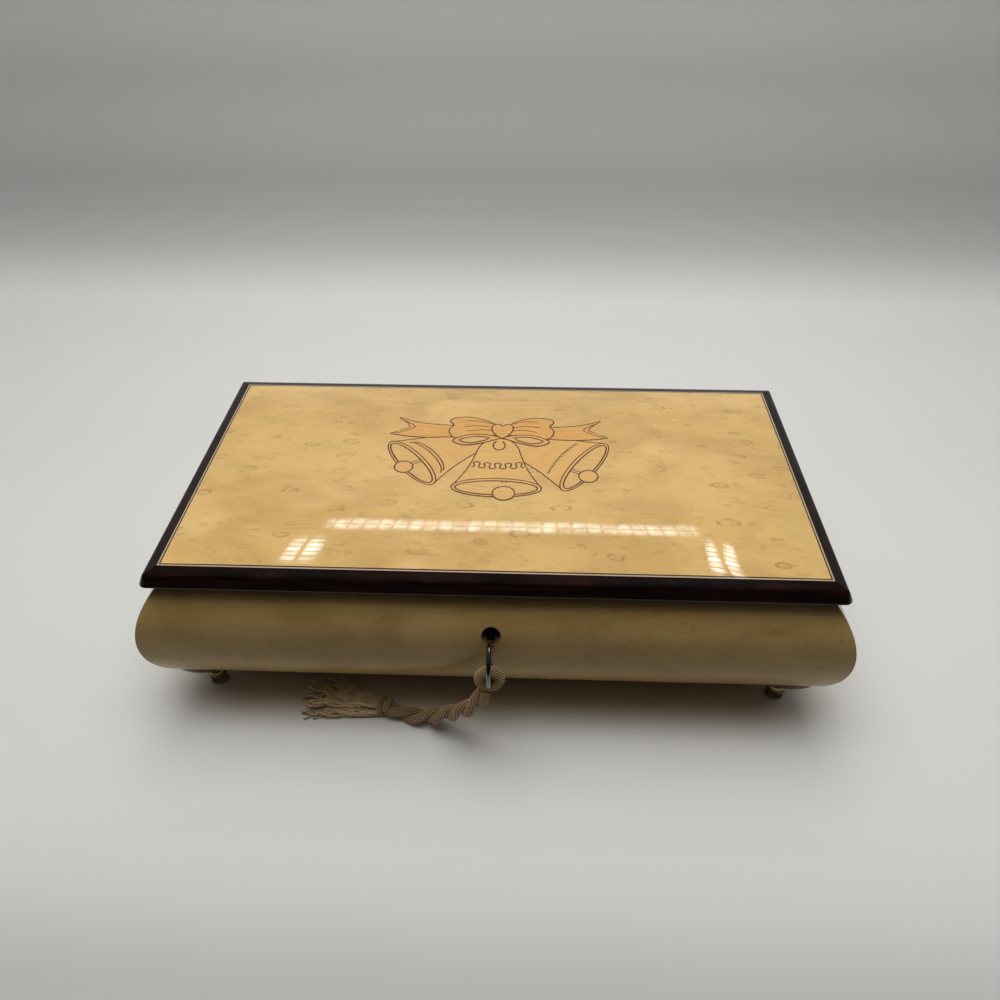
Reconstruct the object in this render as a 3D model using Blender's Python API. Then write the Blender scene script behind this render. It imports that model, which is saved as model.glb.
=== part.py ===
# Musical jewelry box: a bombe veneered case on four cast feet, with a hinged lid, a lock and key,
# a corded tassel, a velvet interior and an eighteen note comb movement under a clear cover.
# Units are metres. The front faces -Y and the table is at z = 0.

import math

import bmesh
import bpy
from mathutils import Matrix, Vector

# Case, whose widest line lies at a share of the rails' height. The arc's lowest point would lie BULGE_TUCK
# under the rails, so it always reaches from their foot to their rim.
CASE_LENGTH = 0.3176
CASE_WIDTH = 0.1766
BULGE_SHARE = 0.5376506
BULGE_TUCK = 0.0033
RIM_HEIGHT = 0.0774
RAIL_DEPTH = 0.0279
FOOT_HEIGHT = 0.011
FOOT_OUTSET = 0.0022
FOOT_LEAF_TIP = 0.0130
FOOT_LEAF_ROOT = 0.004
FOOT_LEAF_HALF_WIDTH = 0.0056
FOOT_LEAF_THICKNESS = 0.0013
FOOT_LEAF_DROP = 0.0028
FOOT_NECK = 0.006
BULGE_STEPS = 18

# Turned foot, as (radius, share of the foot's height)
FOOT_PROFILE = (
    (0.0036, 0.0),
    (0.0043, 0.064),
    (0.0043, 0.136),
    (0.0033, 0.218),
    (0.0030, 0.282),
    (0.0040, 0.382),
    (0.0048, 0.518),
    (0.0050, 0.673),
    (0.0046, 0.827),
    (0.0040, 0.918),
    (0.0046, 1.0),
)

# Gaps
GLUE_LINE = 0.0001
SEAT_GAP = 0.0003
RUN_GAP = 0.0002
FACE_STEP = 0.00002
CUT_OVERRUN = 0.001
SOFT_EDGE = 0.0006

# Base board, held in a groove round the rails
BASE_THICKNESS = 0.004
BASE_RISE = 0.003
GROOVE_DEPTH = 0.0025

# Lid, whose edge lies inside the case's widest line by one inset all round
LID_INSET = 0.0063
LID_EDGE_THICKNESS = 0.0074
MOULDING_WIDTH = 0.0075
CROWN = 0.0046
CROWN_MARGIN = 0.058
LID_OPENING_CLEARANCE = 0.0045
LID_LINING_THICKNESS = 0.0022
LID_LINING_ROLL = 0.008

# Lid moulding, as shares of its width inwards and of the lid's edge upwards
MOULDING_SHARES = (
    (1.0, 0.0),
    (0.40, 0.0),
    (0.24, 0.068),
    (0.08, 0.23),
    (0.0, 0.446),
    (0.027, 0.622),
    (0.133, 0.757),
    (0.293, 0.824),
    (0.48, 0.851),
    (0.693, 0.905),
    (1.0, 1.0),
)

# Hinges
HINGE_RADIUS = 0.0019
HINGE_PIN_RADIUS = 0.0008
HINGE_LENGTH = 0.030
HINGE_FROM_END = 0.0638
LEAF_THICKNESS = 0.0008
LEAF_REACH = 0.0125
LEAF_TO_AXIS = 0.0036
CUP_WALL = 0.0009
PIN_HEAD = 0.0006
HINGE_TOP_CLEARANCE = 0.0004

# Lock
LOCK_LENGTH = 0.036
LOCK_DEPTH = 0.0086
LOCK_HEIGHT = 0.0262
LOCK_SHEET = 0.001
KEY_BELOW_RIM = 0.0189
KEYHOLE_RADIUS = 0.0042
BOLT_HEIGHT = 0.004
BOLT_THICKNESS = 0.002
BOLT_DROP = 0.0069
BOLT_PLAY = 0.0004
BOLT_TAIL = 0.0135
BOLT_ARM = 0.0030
TALON_GAP = 0.0008
TALON_WIDTH = 0.0024
TALON_DEPTH = 0.0014
LINK_THICKNESS = 0.002
LINK_OFFSET = 0.0015
LINK_WIDTH = 0.0044
LINK_WALL = 0.0012
LINK_PLAY = 0.0007
LINK_PLATE_LENGTH = 0.022
LINK_PLATE_WIDTH = 0.007
DRILL_PIN_LENGTH = 0.0042

# Key
KEY_RING_RADIUS = 0.0089
KEY_WIRE_RADIUS = 0.0011
KEY_SHANK_RADIUS = 0.0017
KEY_BORE_RADIUS = 0.0011
KEY_STAND_OFF = 0.0068
KEY_BIT_REACH = 0.0038
KEY_BIT_THICKNESS = 0.0014
KEY_BIT_WIDTH = 0.0036
KEY_END_GAP = 0.0006
KEY_BORE_LENGTH = 0.0046

# Tassel
ROPE_DIAMETER = 0.0077
LOOP_OUTER_RADIUS = 0.00675
LOOP_STRAND_RADIUS = 0.0026
ROPE_ROUTE = (
    (-0.0017, -0.1023, 0.0424),
    (-0.0045, -0.1034, 0.0365),
    (-0.0100, -0.1021, 0.0280),
    (-0.0193, -0.0962, 0.0158),
    (-0.0292, -0.0915, 0.0073),
    (-0.0386, -0.0889, 0.0041),
    (-0.0446, -0.0872, 0.0041),
    (-0.0502, -0.0847, 0.0041),
)
FRINGE_LENGTH = 0.044
FRINGE_END_WIDTH = 0.0205
FRINGE_END_HEIGHT = 0.0062
FRINGE_HEADING = math.radians(168)
FRINGE_STATIONS = (
    (0.00, 0.0090, 0.0076),
    (0.07, 0.0104, 0.0078),
    (0.16, 0.0088, 0.0070),
    (0.40, 0.0118, 0.0070),
    (0.72, 0.0170, 0.0066),
    (1.00, FRINGE_END_WIDTH, FRINGE_END_HEIGHT),
)

# Velvet interior
VELVET = 0.0012
DIVIDER = 0.003
DIVIDER_HEIGHT = 0.042
BAY_LENGTH = 0.0658
BAY_DEPTH = 0.0533
RING_BED_LENGTH = 0.0627
RING_PLINTH_HEIGHT = 0.020
RING_ROLLS = 5
RING_ROLL_DIAMETER = 0.0122
RING_ROLL_TAPER = 0.004

# Clear cover
COVER_SHEET = 0.0015
COVER_HEIGHT = 0.040
COVER_BEND = 0.003
COVER_FINGER_HOLE = 0.0075
COVER_ROD_GAP = 0.0014

# Movement
BED_LENGTH = 0.060
BED_WIDTH = 0.040
BED_THICKNESS = 0.003
BED_LEG = 0.002
BED_LEG_RADIUS = 0.0028
BED_LEG_INSET = 0.004
BED_CORNER = 0.003
BARREL_RADIUS = 0.0118
BARREL_HEIGHT = 0.0122
BARREL_FROM_END = 0.0142
CROWN_RADIUS = 0.0104
CROWN_TEETH = 48
CROWN_BAND = 0.001
CROWN_RECESS = 0.0025
TOOTH_HEIGHT = 0.0009
PINION_TEETH = 16
PINION_WIDTH = 0.0018
CYLINDER_RADIUS = 0.0064
COMB_TEETH = 18
COMB_PITCH = 0.0012
COMB_SLOT = 0.0003
COMB_THICKNESS = 0.0011
COMB_DEPTH = 0.0125
COMB_SEAT = 0.0075
COMB_SEAT_MARGIN = 0.001
COMB_TIP_GAP = 0.00012
COMB_BASS_SLOT = 0.0092
COMB_TREBLE_SLOT = 0.0058
COMB_MARGIN = 0.0006
PIN_HEIGHT = 0.0006
PIN_HALF_WIDTH = 0.00017
PIN_ROOT = 0.0004
PINS_PER_TOOTH = 3
CYLINDER_MARGIN = 0.0007
CYLINDER_GEAR_TEETH = 32
GOVERNOR_PINION_TEETH = 8
GEAR_MODULE = 0.0004
GEAR_WIDTH = 0.0011
WORM_WHEEL_TEETH = 20
WORM_STARTS = 2
WORM_RADIUS = 0.0014
WORM_LENGTH = 0.0063
WORM_SHAFT = 0.0006
WORM_STEP_RADIUS = 0.0012
WORM_STEP_DEPTH = 0.0012
THREAD_DEPTH = 0.0007
ARBOR_RADIUS = 0.0009
GOVERNOR_DROP = 0.0035
FAN_RADIUS = 0.0044
FAN_HEIGHT = 0.0048
FAN_BLADE = 0.0007
FAN_HUB = 0.0013
FAN_RISE = 0.0046
PLATE = 0.0012
FRAME_REACH = 0.005
FRAME_ARM_HALF = 0.0022
FRAME_FOOT = 0.0042
END_PLAY = 0.0008
FAN_PLAY = 0.0012
SHOULDER = 0.0007
BRIDGE_WIDTH = 0.007
BRIDGE_OVERHANG = 0.003
BRIDGE_LIFT = 0.001
BRIDGE_POST_LENGTH = 0.005
BRIDGE_POST_DEPTH = 0.0036
BRIDGE_TAB_OFFSET = 0.006
BRIDGE_TAB_WIDTH = 0.0044
WINDING_RADIUS = 0.0015
WINDING_KEY_WIDTH = 0.019
WINDING_KEY_HEIGHT = 0.0085
TABLE_CLEARANCE = 0.0022
WINDING_HOLE_RADIUS = 0.0045
WINDING_SHAFT_RISE = 0.0035
WINDING_HUB_RADIUS = 0.0034
WINDING_WING = 0.0018
PLUNGER_RADIUS = 0.0008

# Sizes that follow
BULGE_HEIGHT = FOOT_HEIGHT + (RIM_HEIGHT - FOOT_HEIGHT) * BULGE_SHARE
BULGE_RADIUS = BULGE_HEIGHT - FOOT_HEIGHT + BULGE_TUCK
LID_LENGTH = CASE_LENGTH - 2 * LID_INSET
LID_WIDTH = CASE_WIDTH - 2 * LID_INSET
ARC_INSET_RIM = BULGE_RADIUS - math.sqrt(BULGE_RADIUS**2 - (RIM_HEIGHT - BULGE_HEIGHT) ** 2)
ARC_INSET_BASE = BULGE_RADIUS - math.sqrt(BULGE_RADIUS**2 - (BULGE_HEIGHT - FOOT_HEIGHT) ** 2)
ROOM_X = CASE_LENGTH / 2 - RAIL_DEPTH
ROOM_Y = CASE_WIDTH / 2 - RAIL_DEPTH
BASE_UNDER = FOOT_HEIGHT + BASE_RISE
FLOOR = BASE_UNDER + BASE_THICKNESS
LID_UNDER = RIM_HEIGHT + SEAT_GAP
LID_EDGE_TOP = LID_UNDER + LID_EDGE_THICKNESS
LINED_X = ROOM_X - SEAT_GAP - VELVET
LINED_Y = ROOM_Y - SEAT_GAP - VELVET
HINGE_SPREAD = CASE_LENGTH - 2 * HINGE_FROM_END
KEY_HEIGHT = RIM_HEIGHT - KEY_BELOW_RIM
HINGE_Z = LID_UNDER - HINGE_TOP_CLEARANCE - HINGE_RADIUS
HINGE_Y = (
    CASE_WIDTH / 2
    - BULGE_RADIUS
    + math.sqrt((BULGE_RADIUS + HINGE_RADIUS + SEAT_GAP) ** 2 - (HINGE_Z - BULGE_HEIGHT) ** 2)
)
ARC_INSET_KEY = BULGE_RADIUS - math.sqrt(BULGE_RADIUS**2 - (KEY_HEIGHT - BULGE_HEIGHT) ** 2)
KEY_FACE_Y = -CASE_WIDTH / 2 + ARC_INSET_KEY
RING_Y = KEY_FACE_Y - KEY_STAND_OFF - KEY_RING_RADIUS
LOCK_BACK_Y = -ROOM_Y
LOCK_FRONT_Y = LOCK_BACK_Y - LOCK_DEPTH
LOCK_MID_Y = LOCK_BACK_Y - LOCK_SHEET - (LOCK_DEPTH - LOCK_SHEET) / 2
LOCK_TOP_Z = RIM_HEIGHT - SEAT_GAP
BOLT_Z = RIM_HEIGHT - BOLT_DROP
KEY_FRONT_Y = RING_Y - KEY_RING_RADIUS - KEY_WIRE_RADIUS
FRAME_SHIFT = -(KEY_FRONT_Y + CASE_WIDTH / 2) / 2

BAY_RIGHT = LINED_X - SEAT_GAP
BAY_LEFT = BAY_RIGHT - BAY_LENGTH
BAY_BACK = LINED_Y - SEAT_GAP
BAY_FRONT = BAY_BACK - BAY_DEPTH
BED_UNDER = FLOOR + SEAT_GAP + BED_LEG
BED_TOP = BED_UNDER + BED_THICKNESS
BED_X = (BAY_LEFT + BAY_RIGHT) / 2
BED_Y = (BAY_FRONT + BAY_BACK) / 2
BARREL_X = BED_X - BED_LENGTH / 2 + BARREL_FROM_END
BARREL_FLOOR = BED_TOP + SEAT_GAP
CROWN_Z = BARREL_FLOOR + BARREL_HEIGHT
CROWN_PITCH = 2 * math.pi * CROWN_RADIUS / CROWN_TEETH
PINION_RADIUS = CROWN_PITCH * PINION_TEETH / (2 * math.pi)
CYLINDER_Z = CROWN_Z + PINION_RADIUS
CYLINDER_LENGTH = COMB_TEETH * COMB_PITCH + 2 * CYLINDER_MARGIN
CYLINDER_X0 = BARREL_X + BARREL_RADIUS + 2 * END_PLAY
CYLINDER_X1 = CYLINDER_X0 + CYLINDER_LENGTH
GEAR_X = CYLINDER_X1 + END_PLAY
GEAR_RADIUS = GEAR_MODULE * CYLINDER_GEAR_TEETH / 2
GOVERNOR_PINION_RADIUS = GEAR_MODULE * GOVERNOR_PINION_TEETH / 2
FRAME_X = GEAR_X + GEAR_WIDTH + END_PLAY
GOVERNOR_Y = BED_Y + math.sqrt((GEAR_RADIUS + GOVERNOR_PINION_RADIUS) ** 2 - GOVERNOR_DROP**2)
GOVERNOR_Z = CYLINDER_Z - GOVERNOR_DROP
WHEEL_X = FRAME_X + PLATE + SHOULDER
WHEEL_RADIUS = GEAR_MODULE * WORM_WHEEL_TEETH / 2
WORM_X = WHEEL_X + GEAR_WIDTH / 2
WORM_Y = GOVERNOR_Y + WHEEL_RADIUS + WORM_RADIUS
FAN_Z = GOVERNOR_Z + FAN_RISE
FRAME_ARM_Z = FAN_Z + FAN_HEIGHT + FAN_PLAY
PLUNGER_Y = WORM_Y + FAN_RADIUS + PLUNGER_RADIUS + FAN_PLAY
BRIDGE_TAB_X = BARREL_X + BRIDGE_TAB_OFFSET
BRIDGE_LOW = CROWN_Z + BRIDGE_LIFT
BRIDGE_TOP = BRIDGE_LOW + PLATE
PINION_X0 = BARREL_X + CROWN_RADIUS - PINION_WIDTH / 2


def material(name, color, roughness, metallic=0.0, alpha=1.0):
    """A Principled material with one colour."""
    made = bpy.data.materials.new(name)
    made.use_nodes = True
    shader = made.node_tree.nodes["Principled BSDF"]
    shader.inputs["Base Color"].default_value = (*color, 1.0)
    shader.inputs["Roughness"].default_value = roughness
    shader.inputs["Metallic"].default_value = metallic
    shader.inputs["Alpha"].default_value = alpha
    made.diffuse_color = (*color, alpha)
    return made


def make_palette():
    """The finishes that the pieces share."""
    return {
        "veneer": material("veneer", (0.64, 0.44, 0.20), 0.12),
        "side_veneer": material("side_veneer", (0.60, 0.43, 0.20), 0.15),
        "moulding": material("moulding", (0.045, 0.012, 0.008), 0.15),
        "plywood": material("plywood", (0.45, 0.31, 0.17), 0.7),
        "velvet": material("velvet", (0.36, 0.05, 0.06), 0.95),
        "brass": material("brass", (0.62, 0.44, 0.16), 0.3, 1.0),
        "steel": material("steel", (0.62, 0.63, 0.65), 0.25, 1.0),
        "key_metal": material("key_metal", (0.30, 0.29, 0.28), 0.2, 1.0),
        "zinc": material("zinc", (0.50, 0.51, 0.52), 0.45, 1.0),
        "clear": material("clear", (0.92, 0.95, 0.96), 0.03, 0.0, 0.25),
        "cotton": material("cotton", (0.50, 0.37, 0.21), 0.9),
    }


def new_object(name, bm, finish, parent, location=(0.0, 0.0, 0.0), smooth=None):
    """Turns a bmesh into a placed object. smooth is the angle, in degrees, over which edges stay sharp."""
    bmesh.ops.recalc_face_normals(bm, faces=bm.faces[:])
    mesh = bpy.data.meshes.new(name)
    bm.to_mesh(mesh)
    bm.free()
    if smooth is not None:
        mesh.shade_smooth()
        mesh.set_sharp_from_angle(angle=math.radians(smooth))
    obj = bpy.data.objects.new(name, mesh)
    bpy.context.scene.collection.objects.link(obj)
    obj.location = location
    obj.parent = parent
    if finish is not None:
        mesh.materials.append(finish)
    return obj


def empty(name, location, parent=None):
    """An empty on a joint's axis or at the frame's reference point."""
    made = bpy.data.objects.new(name, None)
    bpy.context.scene.collection.objects.link(made)
    made.empty_display_size = 0.01
    made.location = location
    made.parent = parent
    return made


def combine(target, tool, operation):
    """Adds a Boolean of the tool to the target and keeps the tool as a guide."""
    tool.hide_render = True
    tool.display_type = "WIRE"
    step = target.modifiers.new(tool.name, "BOOLEAN")
    step.operation = operation
    step.object = tool
    step.solver = "EXACT"


def cut(target, *tools):
    for tool in tools:
        combine(target, tool, "DIFFERENCE")


def join(target, *tools):
    for tool in tools:
        combine(target, tool, "UNION")


def box_mesh(low, high):
    """A block between two corners."""
    bm = bmesh.new()
    bmesh.ops.create_cube(bm, size=1.0)
    low, high = Vector(low), Vector(high)
    size = high - low
    middle = (high + low) / 2
    bmesh.ops.scale(bm, vec=size, verts=bm.verts)
    bmesh.ops.translate(bm, vec=middle, verts=bm.verts)
    return bm


def soften(bm, width, segments=1):
    """Bevels every edge sharper than a right angle's half."""
    edges = [e for e in bm.edges if e.is_manifold and e.calc_face_angle(0.0) > math.radians(40)]
    bmesh.ops.bevel(bm, geom=edges, offset=width, segments=segments, profile=0.5, affect="EDGES")


def bridge_rings(bm, lower, upper):
    """Quads between two closed rings of the same count."""
    for k in range(len(lower)):
        n = (k + 1) % len(lower)
        bm.faces.new((lower[k], lower[n], upper[n], upper[k]))


CORNERS = ((-1, -1), (1, -1), (1, 1), (-1, 1))

AXES = {
    "Z": Matrix.Identity(4),
    "X": Matrix.Rotation(math.radians(90), 4, "Y"),
    "Y": Matrix.Rotation(math.radians(-90), 4, "X"),
}


def prism_mesh(outline, start, end, axis="Z", twist=0.0):
    """Extrudes a plane outline from start to end along an axis, turned by twist on the way."""
    bm = bmesh.new()
    turn = Matrix.Rotation(twist, 3, "Z")
    low = [bm.verts.new((x, y, start)) for x, y in outline]
    high = [bm.verts.new(turn @ Vector((x, y, end))) for x, y in outline]
    bm.faces.new(low)
    bm.faces.new(high)
    bridge_rings(bm, low, high)
    bmesh.ops.transform(bm, matrix=AXES[axis], verts=bm.verts)
    return bm


def turned_mesh(profile, segments=24, axis="Z"):
    """Revolves (radius, height) points. Points at radius 0 close the ends."""
    bm = bmesh.new()
    rings = []
    for radius, height in profile:
        if radius == 0:
            rings.append([bm.verts.new((0, 0, height))])
            continue
        steps = [2 * math.pi * k / segments for k in range(segments)]
        rings.append([bm.verts.new((radius * math.cos(a), radius * math.sin(a), height)) for a in steps])
    for lower, upper in zip(rings, rings[1:]):
        if len(lower) > 1 and len(upper) > 1:
            bridge_rings(bm, lower, upper)
            continue
        for k in range(segments):
            n = (k + 1) % segments
            if len(lower) == 1:
                bm.faces.new((lower[0], upper[n], upper[k]))
            else:
                bm.faces.new((lower[k], lower[n], upper[0]))
    bmesh.ops.transform(bm, matrix=AXES[axis], verts=bm.verts)
    return bm


def rod_mesh(radius, start, end, axis="Z", segments=20):
    """A plain round bar along an axis."""
    return turned_mesh([(0, start), (radius, start), (radius, end), (0, end)], segments, axis)


def stepped_mesh(steps, axis="Z", segments=20):
    """A stepped round bar. steps are (start, end, radius), end to end."""
    profile = [(0, steps[0][0])]
    for start, end, radius in steps:
        profile += [(radius, start), (radius, end)]
    profile.append((0, steps[-1][1]))
    return turned_mesh(profile, segments, axis)


def arc_profile(height_from, height_to, offset=0.0, steps=BULGE_STEPS):
    """(inset from the widest line, height) points up the case's bulge, moved out by offset."""
    radius = BULGE_RADIUS + offset
    first = math.asin((height_from - BULGE_HEIGHT) / radius)
    last = math.asin((height_to - BULGE_HEIGHT) / radius)
    points = []
    for k in range(steps + 1):
        angle = first + (last - first) * k / steps
        points.append((BULGE_RADIUS - radius * math.cos(angle), BULGE_HEIGHT + radius * math.sin(angle)))
    return points


def mitred_mesh(profile, half_length, half_width, side):
    """Runs an (inset, height) profile along one side of a rectangle, mitred at 45 degrees."""
    bm = bmesh.new()
    along, across = (half_length, half_width) if side in ("front", "back") else (half_width, half_length)
    ends = []
    for sign in (-1, 1):
        ring = [
            bm.verts.new((sign * (along - inset - GLUE_LINE), -(across - inset), height))
            for inset, height in profile
        ]
        bm.faces.new(ring)
        ends.append(ring)
    bridge_rings(bm, *ends)
    quarter = {"front": 0, "right": 1, "back": 2, "left": 3}[side]
    bmesh.ops.rotate(bm, matrix=Matrix.Rotation(quarter * math.pi / 2, 3, "Z"), verts=bm.verts)
    return bm


def envelope_mesh(offset):
    """The case's outer form as one solid, grown by offset, to fit the feet against."""
    bm = bmesh.new()
    under = FOOT_HEIGHT - offset
    profile = arc_profile(max(under, BULGE_HEIGHT - BULGE_RADIUS), RIM_HEIGHT, offset)
    rings = []
    for inset, height in profile:
        x = CASE_LENGTH / 2 - inset
        y = CASE_WIDTH / 2 - inset
        rings.append([bm.verts.new((sx * x, sy * y, height)) for sx, sy in CORNERS])
    bm.faces.new(rings[0])
    bm.faces.new(rings[-1])
    for lower, upper in zip(rings, rings[1:]):
        bridge_rings(bm, lower, upper)
    return bm


def ring_tube_mesh(circle_radius, tube_radius, around, section, plane):
    """A closed ring of round section in the YZ or XZ plane, about the origin."""
    bm = bmesh.new()
    rings = []
    for i in range(around):
        a = 2 * math.pi * i / around
        ring = []
        for j in range(section):
            b = 2 * math.pi * j / section
            out = circle_radius + tube_radius * math.cos(b)
            aside = tube_radius * math.sin(b)
            first, second = out * math.cos(a), out * math.sin(a)
            ring.append(bm.verts.new((aside, first, second) if plane == "YZ" else (first, aside, second)))
        rings.append(ring)
    for i in range(around):
        bridge_rings(bm, rings[i], rings[(i + 1) % around])
    return bm


def plate_mesh(outline, low_y, high_y):
    """A flat plate of an (x, z) outline, between two places along Y."""
    bm = bmesh.new()
    front = [bm.verts.new((x, low_y, z)) for x, z in outline]
    back = [bm.verts.new((x, high_y, z)) for x, z in outline]
    bm.faces.new(front)
    bm.faces.new(back)
    bridge_rings(bm, front, back)
    return bm


def gear_outline(teeth, pitch_radius, tooth_height, share=0.42, phase=0.0):
    """A toothed outline with tapered teeth. share is the tooth's part of the pitch at half height."""
    root = pitch_radius - tooth_height * 0.6
    tip = pitch_radius + tooth_height * 0.4
    pitch = 2 * math.pi / teeth
    points = []
    for tooth in range(teeth):
        middle = phase + tooth * pitch
        for radius, where in ((root, -0.75), (tip, -0.3), (tip, 0.3), (root, 0.75)):
            angle = middle + where * share * pitch
            points.append((radius * math.cos(angle), radius * math.sin(angle)))
    return points


def meshing_phase(towards, teeth, pinion_teeth):
    """Phase of a pinion that seats its gap on the tooth of a gear whose first tooth is at angle 0."""
    share = (-towards / (2 * math.pi / teeth)) % 1.0
    return towards + math.pi + (0.5 - share) * 2 * math.pi / pinion_teeth


def make_carcass(case, finish):
    """Four solid bombe rails, mitred at the corners and grooved for the base board."""
    groove_low = BASE_UNDER - SEAT_GAP
    groove_high = FLOOR + SEAT_GAP
    groove = RAIL_DEPTH - GROOVE_DEPTH
    profile = arc_profile(FOOT_HEIGHT, RIM_HEIGHT)
    profile += [
        (RAIL_DEPTH, RIM_HEIGHT),
        (RAIL_DEPTH, groove_high),
        (groove, groove_high),
        (groove, groove_low),
        (RAIL_DEPTH, groove_low),
        (RAIL_DEPTH, FOOT_HEIGHT),
    ]
    rails = {}
    for side in ("front", "back", "left", "right"):
        bm = mitred_mesh(profile, CASE_LENGTH / 2, CASE_WIDTH / 2, side)
        rails[side] = new_object(f"carcass_{side}", bm, finish["side_veneer"], case, smooth=30)
    return rails


def make_base(case, finish, winding_x, winding_y):
    """The plywood base board, with a clearance hole for the winding shaft."""
    reach = GROOVE_DEPTH - SEAT_GAP
    low = (-ROOM_X - reach, -ROOM_Y - reach, BASE_UNDER)
    high = (ROOM_X + reach, ROOM_Y + reach, FLOOR)
    base = new_object("base_board", box_mesh(low, high), finish["plywood"], case)
    hole = rod_mesh(WINDING_HOLE_RADIUS, BASE_UNDER - CUT_OVERRUN, FLOOR + CUT_OVERRUN)
    cut(base, new_object("cut_winding_hole", hole, None, case, (winding_x, winding_y, 0)))
    return base


def make_feet(case, finish):
    """Cast brass feet: a ball on a pad, with a pointed leaf that hugs the case's corner."""
    centre_x = CASE_LENGTH / 2 - ARC_INSET_BASE + FOOT_OUTSET
    centre_y = CASE_WIDTH / 2 - ARC_INSET_BASE + FOOT_OUTSET * 0.8
    neck_top = FOOT_HEIGHT + FOOT_NECK
    profile = [(0, 0)] + [(radius, share * FOOT_HEIGHT) for radius, share in FOOT_PROFILE]
    profile += [(FOOT_PROFILE[-1][0], neck_top), (0, neck_top)]
    leaf = []
    for k in range(9):
        t = k / 8
        along = FOOT_LEAF_TIP * t - FOOT_LEAF_ROOT * (1 - t)
        leaf.append((along, FOOT_LEAF_HALF_WIDTH * (1 - t**2) ** 0.8))
    leaf += [(x, -y) for x, y in reversed(leaf[:-1])]
    for name, sx, sy in (
        ("foot_front_left", -1, -1),
        ("foot_front_right", 1, -1),
        ("foot_back_left", -1, 1),
        ("foot_back_right", 1, 1),
    ):
        place = (sx * centre_x, sy * centre_y, 0)
        ball = turned_mesh(profile, 16)
        bmesh.ops.rotate(ball, matrix=Matrix.Rotation(math.radians(6), 3, "Z"), verts=ball.verts)
        foot = new_object(name, ball, finish["brass"], case, place, smooth=35)
        bm = prism_mesh(leaf, FOOT_HEIGHT - FOOT_LEAF_DROP, FOOT_HEIGHT + 2 * FOOT_NECK)
        bmesh.ops.rotate(bm, matrix=Matrix.Rotation(math.atan2(sy, sx), 3, "Z"), verts=bm.verts)
        flange = new_object(f"guide_leaf_{name}", bm, None, case, place)
        skin_mesh = envelope_mesh(SEAT_GAP + FOOT_LEAF_THICKNESS)
        skin = new_object(f"guide_skin_{name}", skin_mesh, None, case)
        combine(flange, skin, "INTERSECT")
        join(foot, flange)
        cut(foot, new_object(f"cut_case_{name}", envelope_mesh(SEAT_GAP), None, case))


def make_lid(lid, finish):
    """The crowned lid board, its four mitred mouldings and the padded lining underneath."""
    width = MOULDING_WIDTH
    profile = [(width * inward, LID_UNDER + LID_EDGE_THICKNESS * up) for inward, up in MOULDING_SHARES]
    mouldings = {}
    for side in ("front", "back", "left", "right"):
        bm = mitred_mesh(profile, LID_LENGTH / 2, LID_WIDTH / 2, side)
        offset = (0, -HINGE_Y, -HINGE_Z)
        mouldings[side] = new_object(f"lid_moulding_{side}", bm, finish["moulding"], lid, offset, smooth=35)

    half_x = LID_LENGTH / 2 - width - GLUE_LINE
    half_y = LID_WIDTH / 2 - width - GLUE_LINE

    def rise(x, y):
        """Height of the crown: flat in the middle, a quarter wave down to each edge."""
        level = CROWN
        for inside in (half_x - abs(x), half_y - abs(y)):
            t = min(inside / CROWN_MARGIN, 1.0)
            level *= 1 - (1 - t) ** 2.4
        return LID_EDGE_TOP + level

    bm = crowned_mesh(half_x, half_y, LID_UNDER, rise, 26, 18)
    panel = new_object("lid_panel", bm, finish["veneer"], lid, (0, -HINGE_Y, -HINGE_Z), smooth=30)

    pad_x = LINED_X - LID_OPENING_CLEARANCE
    pad_y = LINED_Y - LID_OPENING_CLEARANCE
    top = LID_UNDER - SEAT_GAP

    def sag(x, y):
        """Underside of the pad: thin at its stitched rim and full in the middle."""
        edge = min(pad_x - abs(x), pad_y - abs(y))
        t = min(edge / LID_LINING_ROLL, 1.0)
        return top - LID_LINING_THICKNESS * (0.45 + 0.55 * math.sin(t * math.pi / 2))

    bm = crowned_mesh(pad_x, pad_y, top, sag, 14, 10)
    new_object("lid_lining", bm, finish["velvet"], lid, (0, -HINGE_Y, -HINGE_Z), smooth=40)
    return mouldings, panel


def crowned_mesh(half_x, half_y, flat_z, height_at, cells_x, cells_y):
    """A board with one flat face at flat_z and the other face given by height_at(x, y)."""

    def stations(half, cells):
        """Places from -half to half, closer together near the edges."""
        return [half * math.sin(math.pi * (k / cells - 0.5)) for k in range(cells + 1)]

    xs = stations(half_x, cells_x)
    ys = stations(half_y, cells_y)
    bm = bmesh.new()
    grid = [[bm.verts.new((x, y, height_at(x, y))) for y in ys] for x in xs]
    for i in range(cells_x):
        for j in range(cells_y):
            bm.faces.new((grid[i][j], grid[i + 1][j], grid[i + 1][j + 1], grid[i][j + 1]))
    rim = [grid[i][0] for i in range(cells_x)]
    rim += [grid[cells_x][j] for j in range(cells_y)]
    rim += [grid[i][cells_y] for i in range(cells_x, 0, -1)]
    rim += [grid[0][j] for j in range(cells_y, 0, -1)]
    flat = [bm.verts.new((v.co.x, v.co.y, flat_z)) for v in rim]
    bm.faces.new(flat)
    bridge_rings(bm, rim, flat)
    return bm


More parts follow.
